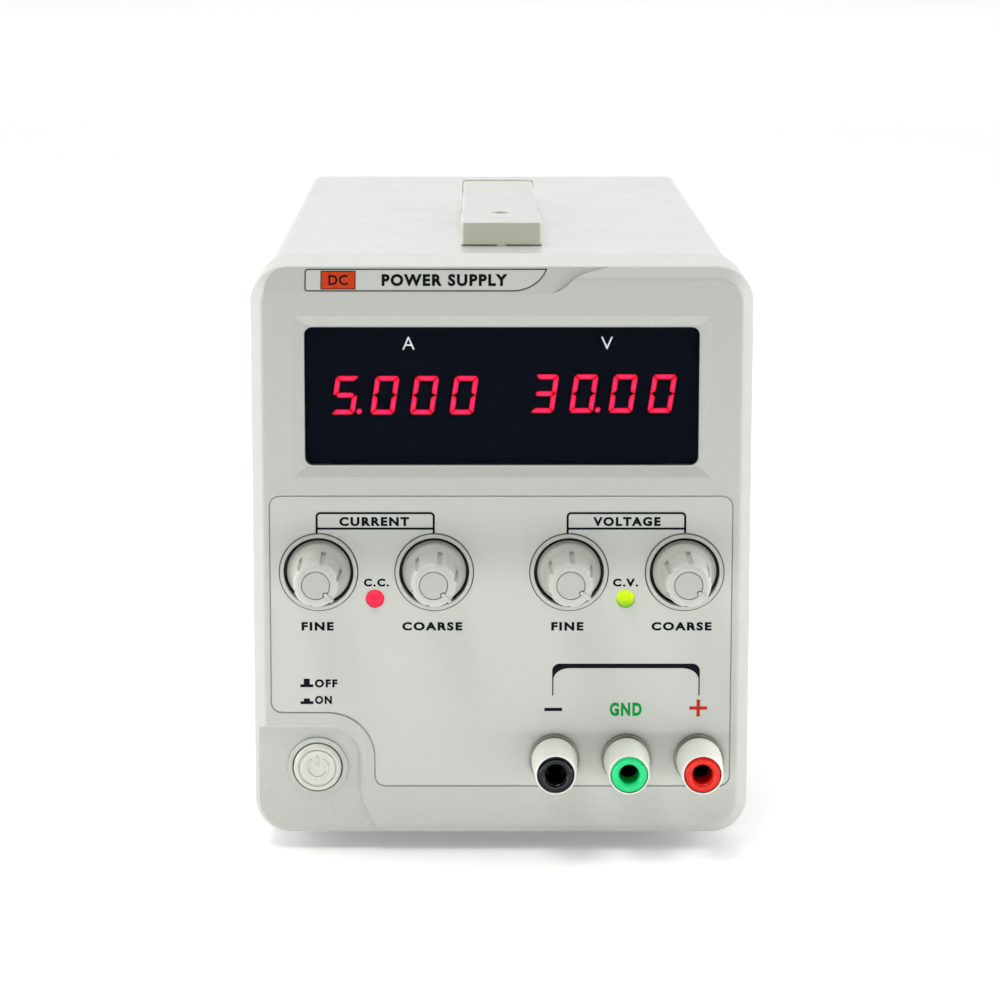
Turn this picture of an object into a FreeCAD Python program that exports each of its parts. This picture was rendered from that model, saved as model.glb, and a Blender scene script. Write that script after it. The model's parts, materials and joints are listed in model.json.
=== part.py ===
import FreeCAD, Part
import math
import os
import re
import Sketcher
from FreeCAD import Placement, Rotation, Vector

# A linear bench power supply, 30 V and 5 A class, as an assembly of its separate pieces.
# Millimetres.  X runs to the right of someone facing the front, Y runs from front to back,
# Z runs up.  The origin is under the middle of the supply, on the table that its feet stand on.
# In the notes, "depth" is a distance behind the plane of the front face.

SIZES = {
    # Moulded front bezel
    "bezel_width": 128.0,
    "bezel_height": 148.8,
    "bezel_depth": 30.0,
    "bezel_wall": 2.6,
    "bezel_corner": 9.3,
    "bezel_bevel": 3.0,
    "bevel_softness": 1.5,
    "bezel_base": 4.5,
    "bezel_front": -136.57,
    "face_thickness": 3.0,
    "boss_radius": 3.2,
    "subframe_depth": 28.6,
    # Steel case
    "cover_width": 124.0,
    "cover_top": 149.4,
    "cover_corner": 3.0,
    "cover_end": 285.0,
    "case_gap": 0.3,
    "metal": 1.0,
    "floor_metal": 1.2,
    "chassis_bottom": 6.5,
    "chassis_half": 60.5,
    "chassis_flange": 14.0,
    "floor_height": 7.3,
    "subframe_half": 57.0,
    "subframe_tall": 138.0,
    "slot_start": 150.0,
    "slot_length": 26.0,
    "slot_width": 3.0,
    "slot_pitch": 7.0,
    "slot_count": 14.0,
    "cover_screw_height": 14.0,
    # Display window and its bevelled surround
    "window_width": 100.6,
    "window_height": 35.7,
    "window_middle": 120.05,
    "window_corner": 2.1,
    "window_thickness": 1.7,
    "window_depth": 1.3,
    "surround_width": 106.4,
    "surround_height": 41.6,
        "module_width": 40.4,
    "module_height": 16.0,
    "module_thickness": 6.8,
    "module_left": -24.8,
    "module_right": 26.0,
    "board_thickness": 1.6,
    "display_board_depth": 10.4,
    # Printed control label in its shallow recess
    "label_left": -59.3,
    "label_right": 59.0,
    "label_top": 94.25,
    "label_bottom": 17.9,
    "label_step_height": 37.5,
    "label_step_side": -32.6,
    "label_step_radius": 11.8,
    "label_corner": 2.6,
    "label_thickness": 0.35,
    "label_recess": 0.5,
    "label_gap": 0.28,
    # Nameplate on the tilted tab above the window
    "plate_left": -50.0,
    "plate_right": 11.5,
    "plate_slant": 2.75,
    "plate_sweep": 9.2,
    "plate_corner": 0.9,
    "plate_inset": 0.55,
    "plate_tall": 5.9,
    "plate_thickness": 0.5,
    "tab_right": 11.0,
    "tab_run": 19.0,
    "tab_bottom": 146.7,
    "tab_rise": 6.9,
    "tab_setback": 2.9,
    "tab_depth": 2.4,
    "tab_draft": -45.0,
    # Turning knobs and their potentiometers
    "knob_height": 74.5,
    "knob_near": 17.3,
    "knob_far": 47.0,
    "ring_radius": 9.95,
    "ring_proud": 0.35,
    "well_radius": 9.0,
    "well_depth": 4.4,
    "skirt_radius": 8.15,
    "knob_radius": 6.25,
    "knob_tip_radius": 5.75,
    "knob_front": 15.5,
    "knob_shoulder": 1.6,
    "flute_centre": 5.95,
    "flute_radius": 0.65,
    "knob_base": 1.6,
    "knob_cap_radius": 3.5,
    "knob_cap_gap": 0.15,
    "pointer_start": 3.0,
    "shaft_radius": 3.0,
    "running_gap": 0.05,
    "pot_radius": 8.5,
    "pot_thickness": 8.0,
    "thread_radius": 3.5,
    "current_pointer": 135.0,
    "voltage_pointer": 125.0,
    # Lamps
    "lamp_side": 32.2,
    "lamp_shift": -0.35,
    "lamp_height": 67.5,
    "lamp_radius": 2.3,
    # Power button in its recess at the lower left
    "button_side": -47.7,
    "button_height": 22.5,
    "button_radius": 6.2,
    "button_gap": 0.35,
    "button_ring": 7.85,
    "button_front": 0.2,
    "power_recess": 1.8,
    "recess_edge": 0.9,
    "switch_depth": 16.0,
    "switch_hole": 9.6,
    "recess_top": 33.2,
    "recess_side": -36.6,
    "recess_waist": 14.3,
    "recess_flare": 8.6,
    "recess_radius": 8.0,
    "recess_waist_radius": 15.0,
    # Output binding posts
    "post_middle": 32.4,
    "post_pitch": 18.7,
    "post_height": 25.2,
    "post_front": 15.5,
    "cap_base": 1.4,
    "washer_radius": 6.5,
    "post_radius": 5.87,
    "post_tip_radius": 5.25,
    "insert_radius": 4.75,
    "insert_bore": 2.5,
    "insert_length": 7.0,
    "bush_radius": 4.2,
    "stud_radius": 3.0,
    "socket_radius": 2.0,
    "socket_length": 15.0,
    # Carrying strap
    "handle_width": 22.5,
    "handle_middle": 0.65,
    "handle_height": 6.5,
    "handle_start": 80.0,
    "handle_length": 127.0,
    "handle_cap_length": 31.0,
    "handle_rim": 1.2,
    "handle_end_radius": 2.6,
    "handle_groove": 0.8,
    "handle_web": 2.4,
    "strap_thickness": 3.4,
    # Feet
    "foot_radius": 9.0,
    "foot_side": 48.0,
    "foot_front": 46.0,
    "foot_rear": 264.0,
    # Fan
    "fan_size": 80.0,
    "fan_thickness": 25.0,
    "fan_bore": 38.0,
    "fan_hole": 35.75,
    "fan_side": 14.0,
    "fan_height": 101.0,
    "fan_hub": 18.0,
    "blade_count": 7.0,
    "wire_radius": 0.8,
    # Mains inlet with its fuse drawer
    "inlet_side": -36.0,
    "inlet_height": 34.0,
    "inlet_width": 27.0,
    "inlet_tall": 31.0,
    "inlet_lip": 2.5,
    "inlet_reach": 22.0,
    "socket_width": 24.2,
    "socket_tall": 16.4,
    "socket_deep": 15.5,
    "drawer_width": 22.0,
    "drawer_tall": 7.4,
    "drawer_deep": 19.0,
    "fuse_length": 20.0,
    "slide_gap": 0.3,
    # Mains voltage selector
    "selector_side": 30.0,
    "selector_height": 30.0,
    "selector_width": 26.0,
    "selector_tall": 13.0,
    "selector_deep": 10.0,
    # Transformer
    "core_width": 96.0,
    "core_tall": 80.0,
    "core_stack": 45.0,
    "core_limb": 16.0,
    "core_start": 96.0,
    "core_bottom": 10.2,
    "coil_overhang": 14.0,
    # Regulator board and what it carries
    "board_half_width": 54.0,
    "board_start": 168.0,
    "board_end": 252.0,
    "board_height": 16.0,
    "can_radius": 12.5,
    "can_height": 40.0,
    "sink_side": 50.0,
    "sink_base": 4.0,
    "sink_reach": 24.0,
    "sink_bottom": 17.6,
    "sink_top": 101.6,
    "fin_thickness": 1.6,
    "fin_count": 9.0,
}

doc = FreeCAD.newDocument("bench_power_supply")
sheet = doc.addObject("Spreadsheet::Sheet", "dims")
for row, (alias, size) in enumerate(SIZES.items(), start=1):
    sheet.set(f"A{row}", alias.replace("_", " "))
    sheet.set(f"B{row}", str(size))
    sheet.setAlias(f"B{row}", alias)
doc.recompute()

subparts = []


# ---- Formulas -------------------------------------------------------------------------------

def formula(text):
    """Make a formula in plain dimension names read the sheet's cells."""
    def cell(match):
        word = match.group(0)
        return f"dims.{word}" if word in SIZES else word
    return re.sub(r"[a-z][a-z_]*", cell, str(text))


def value(text):
    """The number that a formula gives now."""
    found = sheet.evalExpression(formula(text))
    return float(getattr(found, "Value", found))


def bind(thing, **formulas):
    """Drive properties of an object from formulas."""
    for name, text in formulas.items():
        thing.setExpression(name, formula(text))


def put(thing, x="0", y="0", z="0", rotation=None):
    """Drive an object's place, with an optional fixed rotation."""
    if rotation is not None:
        thing.Placement = Placement(Vector(), rotation)
    bind(thing, **{".Placement.Base.x": x, ".Placement.Base.y": y, ".Placement.Base.z": z})


def at_depth(depth):
    """Formula for the Y of a plane at a depth behind the front face."""
    return f"bezel_front + ({depth})"


def named(thing, label):
    """Record an object as a finished sub-part under its own label."""
    thing.Label = label
    subparts.append(thing)
    return thing


# ---- Part primitives and booleans -----------------------------------------------------------

ALONG = {
    "x": Rotation(Vector(0, 1, 0), 90),
    "y": Rotation(Vector(1, 0, 0), -90),
    "z": Rotation(),
}


def block(x, y, z, wide, deep, tall):
    """A box from its lowest corner and its three sizes."""
    box = doc.addObject("Part::Box", "Block")
    bind(box, Length=wide, Width=deep, Height=tall)
    put(box, x, y, z)
    return box


def rod(x, y, z, radius, length, along="y"):
    """A cylinder that starts at a point and runs along an axis."""
    cylinder = doc.addObject("Part::Cylinder", "Rod")
    bind(cylinder, Radius=radius, Height=length)
    put(cylinder, x, y, z, ALONG[along])
    return cylinder


def taper(x, y, z, start_radius, end_radius, length, along="y"):
    """A cone that starts at a point and runs along an axis."""
    cone = doc.addObject("Part::Cone", "Taper")
    bind(cone, Radius1=start_radius, Radius2=end_radius, Height=length)
    put(cone, x, y, z, ALONG[along])
    return cone


def ring(x, y, z, radius, wire):
    """A torus round an axis that runs along Y."""
    torus = doc.addObject("Part::Torus", "Ring")
    bind(torus, Radius1=radius, Radius2=wire)
    put(torus, x, y, z, ALONG["y"])
    return torus


def fused(*pieces):
    """Join pieces that touch into one solid, or gather separate ones into one object."""
    joined = doc.addObject("Part::MultiFuse", "Fused")
    joined.Shapes = list(pieces)
    return joined


def cut(base, *tools):
    """Take tools away from a base."""
    result = doc.addObject("Part::Cut", "Cut")
    result.Base = base
    result.Tool = tools[0] if len(tools) == 1 else fused(*tools)
    return result


def rounded(base, radius, chosen):
    """Round the edges of a Part object that a test picks out."""
    doc.recompute()
    size = value(radius)
    fillet = doc.addObject("Part::Fillet", "Rounded")
    fillet.Base = base
    fillet.Edges = [
        (index, size, size)
        for index, edge in enumerate(base.Shape.Edges, start=1)
        if chosen(edge)
    ]
    return fillet


def runs_along(axis):
    """A test for straight edges that run along an axis."""
    direction = {"x": Vector(1, 0, 0), "y": Vector(0, 1, 0), "z": Vector(0, 0, 1)}[axis]

    def test(edge):
        if not isinstance(edge.Curve, Part.Line):
            return False
        return abs(abs(edge.Curve.Direction.dot(direction)) - 1) < 1e-6
    return test


# ---- PartDesign bodies ----------------------------------------------------------------------

def new_body(label):
    body = doc.addObject("PartDesign::Body", label)
    return named(body, label)


def sketch_on(body, role, offset="0"):
    """A sketch on one of the body's own origin planes, moved along the plane's normal."""
    sketch = body.newObject("Sketcher::SketchObject", "Sketch")
    plane = next(item for item in body.Origin.OriginFeatures if item.Role == role)
    sketch.AttachmentSupport = (plane, [""])
    sketch.MapMode = "FlatFace"
    bind(sketch, **{".AttachmentOffset.Base.z": offset})
    return sketch


def face_sketch(body, y):
    """A sketch that faces the front, on the plane at the given Y."""
    return sketch_on(body, "XZ_Plane", f"-({y})")


def fix(sketch, geometry, point, axis, text):
    """Hold one coordinate of a sketch point at a formula."""
    size = value(text)
    if abs(size) < 1e-9:
        sketch.addConstraint(Sketcher.Constraint("PointOnObject", geometry, point, -2 if axis == "X" else -1))
        return
    index = sketch.addConstraint(Sketcher.Constraint("Distance" + axis, -1, 1, geometry, point, size))
    sketch.setExpression(f"Constraints[{index}]", formula(text))


def draw_circle(sketch, x, y, radius):
    centre = Vector(value(x), value(y), 0)
    index = sketch.addGeometry(Part.Circle(centre, Vector(0, 0, 1), value(radius)), False)
    fix(sketch, index, 3, "X", x)
    fix(sketch, index, 3, "Y", y)
    limit = sketch.addConstraint(Sketcher.Constraint("Radius", index, value(radius)))
    sketch.setExpression(f"Constraints[{limit}]", formula(radius))


def draw_outline(sketch, points):
    """A closed outline of straight lines, each corner held at its two formulas."""
    corners = [Vector(value(x), value(y), 0) for x, y in points]
    first = sketch.GeometryCount
    for index, corner in enumerate(corners):
        following = corners[(index + 1) % len(corners)]
        sketch.addGeometry(Part.LineSegment(corner, following), False)
    for index, (x, y) in enumerate(points):
        following = first + (index + 1) % len(points)
        sketch.addConstraint(Sketcher.Constraint("Coincident", first + index, 2, following, 1))
        fix(sketch, first + index, 1, "X", x)
        fix(sketch, first + index, 1, "Y", y)


def draw_soft_outline(sketch, corners):
    """A closed outline of (x, y, radius) corners: lines through the corners, joined by tangent arcs."""
    points = [Vector(value(x), value(y), 0) for x, y, _ in corners]
    count = len(points)
    arcs, touches = [], []
    for index, (point, (_, _, radius)) in enumerate(zip(points, corners)):
        size = value(radius)
        back = (points[index - 1] - point).normalize()
        ahead = (points[(index + 1) % count] - point).normalize()
        half = back.getAngle(ahead) / 2
        centre = point + (back + ahead).normalize() * (size / math.sin(half))
        ends = [point + way * (size / math.tan(half)) for way in (back, ahead)]
        turns_left = back.cross(ahead).z < 0
        first, last = ends if turns_left else reversed(ends)
        angles = [math.atan2(end.y - centre.y, end.x - centre.x) for end in (first, last)]
        if angles[1] < angles[0]:
            angles[1] += 2 * math.pi
        arc = sketch.addGeometry(Part.ArcOfCircle(Part.Circle(centre, Vector(0, 0, 1), size), *angles), False)
        limit = sketch.addConstraint(Sketcher.Constraint("Radius", arc, size))
        sketch.setExpression(f"Constraints[{limit}]", formula(radius))
        arcs.append((arc, 1, 2) if turns_left else (arc, 2, 1))
        touches.append(ends)
    lines = [
        sketch.addGeometry(Part.LineSegment(touches[index][1], touches[(index + 1) % count][0]), False)
        for index in range(count)
    ]
    for index, (x, y, _) in enumerate(corners):
        arc, entry, leave = arcs[index]
        sketch.addConstraint(Sketcher.Constraint("Tangent", lines[index - 1], 2, arc, entry))
        sketch.addConstraint(Sketcher.Constraint("Tangent", arc, leave, lines[index], 1))
        corner = sketch.addGeometry(Part.Point(points[index]), True)
        fix(sketch, corner, 1, "X", x)
        fix(sketch, corner, 1, "Y", y)
        sketch.addConstraint(Sketcher.Constraint("PointOnObject", corner, 1, lines[index - 1]))
        sketch.addConstraint(Sketcher.Constraint("PointOnObject", corner, 1, lines[index]))


def draw_box(sketch, left, bottom, right, top):
    draw_outline(sketch, [(left, bottom), (right, bottom), (right, top), (left, top)])


def pad(body, sketch, length, backwards=True):
    """Raise a sketch; front-facing sketches grow towards the back."""
    feature = body.newObject("PartDesign::Pad", "Pad")
    feature.Profile = sketch
    feature.Reversed = backwards
    bind(feature, Length=length)
    return feature


def pocket(body, sketch, depth, backwards=False):
    """Sink a sketch; front-facing sketches cut towards the back."""
    feature = body.newObject("PartDesign::Pocket", "Pocket")
    feature.Profile = sketch
    feature.Reversed = backwards
    bind(feature, Length=depth)
    return feature


def loft_cut(body, *sketches):
    feature = body.newObject("PartDesign::SubtractiveLoft", "LoftCut")
    feature.Profile = sketches[0]
    feature.Sections = list(sketches[1:])
    feature.Ruled = True
    return feature


def turned(body, points):
    """Revolve an outline of (radius, Y) points about the body's Y axis."""
    sketch = sketch_on(body, "XY_Plane")
    draw_outline(sketch, points)
    feature = body.newObject("PartDesign::Revolution", "Revolution")
    feature.Profile = sketch
    feature.ReferenceAxis = (sketch, ["V_Axis"])
    feature.Angle = 360
    return feature


def dress(body, kind, size, chosen):
    """Fillet or chamfer the edges of a body's tip that a test picks out."""
    doc.recompute()
    base = body.Tip
    names = [
        f"Edge{index}"
        for index, edge in enumerate(base.Shape.Edges, start=1)
        if chosen(edge)
    ]
    feature = body.newObject(f"PartDesign::{kind}", kind)
    feature.Base = (base, names)
    bind(feature, **{"Radius" if kind == "Fillet" else "Size": size})
    return feature


def near(edge, x=None, y=None, z=None, tolerance=0.02):
    """True if every sampled point of an edge lies on the given coordinate planes."""
    samples = [edge.valueAt(at) for at in _spread(edge)]
    for axis, wanted in (("x", x), ("y", y), ("z", z)):
        if wanted is None:
            continue
        if any(abs(getattr(point, axis) - wanted) > tolerance for point in samples):
            return False
    return True


def widest(edge):
    """How far from the Y axis an edge reaches."""
    return max(math.hypot(edge.valueAt(at).x, edge.valueAt(at).z) for at in _spread(edge))


def _spread(edge):
    low, high = edge.ParameterRange
    return [low + (high - low) * step / 4 for step in range(5)]


def corner_at(x, z, reach=0.6):
    """A test for an edge along Y that passes a point of the front view."""
    def test(edge):
        if not runs_along("y")(edge):
            return False
        point = edge.valueAt(edge.ParameterRange[0])
        return math.hypot(point.x - value(x), point.z - value(z)) < reach
    return test


def draw_slot(sketch, middle, low, high, width):
    """A slot that stands upright in the sketch, with round ends."""
    half = value(width) / 2
    x, bottom, top = value(middle), value(low), value(high)
    upward = Vector(0, 0, 1)
    lower = sketch.addGeometry(Part.ArcOfCircle(
        Part.Circle(Vector(x, bottom + half, 0), upward, half), math.pi, 2 * math.pi), False)
    upper = sketch.addGeometry(Part.ArcOfCircle(
        Part.Circle(Vector(x, top - half, 0), upward, half), 0, math.pi), False)
    left = sketch.addGeometry(Part.LineSegment(
        Vector(x - half, top - half, 0), Vector(x - half, bottom + half, 0)), False)
    right = sketch.addGeometry(Part.LineSegment(
        Vector(x + half, bottom + half, 0), Vector(x + half, top - half, 0)), False)
    sketch.addConstraint(Sketcher.Constraint("Tangent", lower, 1, left, 2))
    sketch.addConstraint(Sketcher.Constraint("Tangent", lower, 2, right, 1))
    sketch.addConstraint(Sketcher.Constraint("Tangent", upper, 1, right, 2))
    sketch.addConstraint(Sketcher.Constraint("Tangent", upper, 2, left, 1))
    sketch.addConstraint(Sketcher.Constraint("Vertical", left))
    fix(sketch, lower, 3, "X", middle)
    fix(sketch, lower, 3, "Y", f"{low} + {width} / 2")
    fix(sketch, upper, 3, "Y", f"{high} - {width} / 2")
    limit = sketch.addConstraint(Sketcher.Constraint("Radius", lower, half))
    sketch.setExpression(f"Constraints[{limit}]", formula(f"{width} / 2"))


def draw_round_box(sketch, left, bottom, right, top, radius):
    """A box with round corners: four sides joined by four tangent arcs."""
    size = value(radius)
    x, y = (value(left), value(right)), (value(bottom), value(top))
    centres = [(x[1] - size, y[1] - size), (x[0] + size, y[1] - size),
               (x[0] + size, y[0] + size), (x[1] - size, y[0] + size)]
    arcs = []
    for quarter, centre in enumerate(centres):
        circle = Part.Circle(Vector(*centre, 0), Vector(0, 0, 1), size)
        start = quarter * math.pi / 2
        arcs.append(sketch.addGeometry(Part.ArcOfCircle(circle, start, start + math.pi / 2), False))
    for quarter, arc in enumerate(arcs):
        following = arcs[(quarter + 1) % 4]
        ends = sketch.Geometry[arc].EndPoint, sketch.Geometry[following].StartPoint
        side = sketch.addGeometry(Part.LineSegment(*ends), False)
        sketch.addConstraint(Sketcher.Constraint("Tangent", arc, 2, side, 1))
        sketch.addConstraint(Sketcher.Constraint("Tangent", side, 2, following, 1))
        limit = sketch.addConstraint(Sketcher.Constraint("Radius", arc, size))
        sketch.setExpression(f"Constraints[{limit}]", formula(radius))
    for arc, across, up in ((arcs[0], right, top), (arcs[2], left, bottom)):
        inward = "-" if arc == arcs[0] else "+"
        fix(sketch, arc, 3, "X", f"({across}) {inward} ({radius})")
        fix(sketch, arc, 3, "Y", f"({up}) {inward} ({radius})")
    sketch.addConstraint(Sketcher.Constraint("Horizontal", arcs[0], 3, arcs[1], 3))
    sketch.addConstraint(Sketcher.Constraint("Vertical", arcs[1], 3, arcs[2], 3))
    sketch.addConstraint(Sketcher.Constraint("Horizontal", arcs[2], 3, arcs[3], 3))
    sketch.addConstraint(Sketcher.Constraint("Vertical", arcs[3], 3, arcs[0], 3))


# ---- Where repeated pieces stand ------------------------------------------------------------

KNOBS = {
    "current_fine": ("-knob_far", "current_pointer"),
    "current_coarse": ("-knob_near", "current_pointer"),
    "voltage_fine": ("knob_near", "voltage_pointer"),
    "voltage_coarse": ("knob_far", "voltage_pointer"),
}
POSTS = {
    "negative": "post_middle - post_pitch",
    "ground": "post_middle",
    "positive": "post_middle + post_pitch",
}
LAMPS = {"current_lamp": "lamp_shift - lamp_side", "voltage_lamp": "lamp_shift + lamp_side"}
BOSSES = [("-20", "13.6"), ("54", "13.6"), ("-54", "144"), ("54", "144")]
COVER_SCREWS = ["50", "158", "268"]
HANDLE_SCREWS = ["handle_start + 27", "handle_start + handle_length - 27"]
SIGNS = ["-1", "1"]


# ---- Front of the case ----------------------------------------------------------------------

def label_outline(sketch, gap):
    """The label's outline, larger all round by a gap; its lower left steps over the power button."""
    left = f"label_left - ({gap})"
    right = f"label_right + ({gap})"
    top = f"label_top + ({gap})"
    bottom = f"label_bottom - ({gap})"
    step_side = f"label_step_side - ({gap})"
    step_height = f"label_step_height - ({gap})"
    draw_outline(sketch, [
        (step_side, bottom),
        (right, bottom),
        (right, top),
        (left, top),
        (left, step_height),
        (step_side, step_height),
    ])


def round_label(body, gap):
    """Round the label outline's corners; the step's own corner is a large arc."""
    step = corner_at("label_step_side", "label_step_height", 1)
    corners = [corner_at(x, z, 1) for x, z in (
        ("label_step_side", "label_bottom"), ("label_right", "label_bottom"), ("label_right", "label_top"),
        ("label_left", "label_top"), ("label_left", "label_step_height"),
    )]
    dress(body, "Fillet", f"label_step_radius + ({gap})", step)
    dress(body, "Fillet", f"label_corner + ({gap})", lambda edge: any(corner(edge) for corner in corners))


def tilted_sketch(body):
    """A sketch on the tab's tilted face, with its X axis along the tab's lower edge."""
    sketch = body.newObject("Sketcher::SketchObject", "Sketch")
    plane = next(item for item in body.Origin.OriginFeatures if item.Role == "XZ_Plane")
    sketch.AttachmentSupport = (plane, [""])
    sketch.MapMode = "FlatFace"
    lean = math.degrees(math.atan2(value("tab_setback"), value("bezel_base + bezel_height - tab_bottom")))
    sketch.AttachmentOffset = Placement(Vector(), Rotation(Vector(1, 0, 0), -lean))
    bind(sketch, **{".AttachmentOffset.Base.y": "tab_bottom", ".AttachmentOffset.Base.z": "-bezel_front"})
    return sketch


def draw_tab(sketch):
    """The tab's outline: at its right end the lower edge rises in an S of two equal arcs."""
    left, low, high = -value("bezel_width"), 0, 12
    run, rise = value("tab_run"), value("tab_rise")
    radius = (run ** 2 + rise ** 2) / (4 * rise)
    lean = math.asin(run / 2 / radius)
    start, end = value("tab_right"), value("tab_right + tab_run")
    upward = Vector(0, 0, 1)
    lower = sketch.addGeometry(Part.ArcOfCircle(
        Part.Circle(Vector(start, radius, 0), upward, radius), -math.pi / 2, lean - math.pi / 2), False)
    upper = sketch.addGeometry(Part.ArcOfCircle(
        Part.Circle(Vector(end, rise - radius, 0), upward, radius), math.pi / 2, lean + math.pi / 2), False)
    corners = [Vector(end, rise, 0), Vector(end, high, 0), Vector(left, high, 0), Vector(left, low, 0),
               Vector(start, low, 0)]
    sides = [sketch.addGeometry(Part.LineSegment(*ends), False) for ends in zip(corners, corners[1:])]
    joins = [(lower, 2, upper, 2), (upper, 1, sides[0], 1), (sides[0], 2, sides[1], 1),
             (sides[1], 2, sides[2], 1), (sides[2], 2, sides[3], 1), (sides[3], 2, lower, 1)]
    for first, first_end, second, second_end in joins:
        sketch.addConstraint(Sketcher.Constraint("Coincident", first, first_end, second, second_end))
    fix(sketch, lower, 3, "X", "tab_right")
    fix(sketch, lower, 1, "X", "tab_right")
    fix(sketch, lower, 1, "Y", "0")
    fix(sketch, upper, 3, "X", "tab_right + tab_run")
    fix(sketch, upper, 1, "Y", "tab_rise")
    sketch.addConstraint(Sketcher.Constraint("Equal", lower, upper))


def tilted_corner(x, up):
    """A test for an edge across the tab's tilted face that passes a point of its sketch."""
    lean = math.atan2(value("tab_setback"), value("bezel_base + bezel_height - tab_bottom"))

    def test(edge):
        if not isinstance(edge.Curve, Part.Line):
            return False
        across = abs(edge.Curve.Direction.dot(Vector(0, math.cos(lean), -math.sin(lean))))
        spot = Vector(value(x), value("bezel_front") + value(up) * math.sin(lean),
                      value("tab_bottom") + value(up) * math.cos(lean))
        reach = min(vertex.Point.distanceToPoint(spot) for vertex in edge.Vertexes)
        return abs(across - 1) < 1e-4 and reach < 1
    return test


def round_plate(body):
    """Round the nameplate outline: small corners at its left, a long sweep at its lower right."""
    sweep = tilted_corner("plate_right - plate_slant", "plate_inset")
    corners = [tilted_corner("plate_left", "plate_inset"),
               tilted_corner("plate_left", "plate_inset + plate_tall")]
    dress(body, "Fillet", "plate_sweep", sweep)
    dress(body, "Fillet", "plate_corner", lambda edge: any(corner(edge) for corner in corners))


def plate_outline(sketch, gap):
    """The nameplate: square at its left end, slanting out to a tip at its upper right."""
    draw_outline(sketch, [
        (f"plate_left - ({gap})", f"plate_inset - ({gap})"),
        (f"plate_right - plate_slant + ({gap})", f"plate_inset - ({gap})"),
        (f"plate_right + ({gap})", f"plate_inset + plate_tall + ({gap})"),
        (f"plate_left - ({gap})", f"plate_inset + plate_tall + ({gap})"),
    ])


def recess_outline(sketch, gap):
    """The power button's recess, larger by a gap; it runs out through the bezel's side and bottom."""
    side, top = f"recess_side + {gap}", f"recess_top + {gap}"
    draw_soft_outline(sketch, [
        ("-bezel_width", top, "2"),
        ("-bezel_width", "-12", "2"),
        (f"{side} + recess_flare * 1.6", "-12", "2"),
        (side, "recess_waist", "recess_waist_radius"),
        (side, top, f"recess_radius + {gap}"),
    ])


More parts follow.
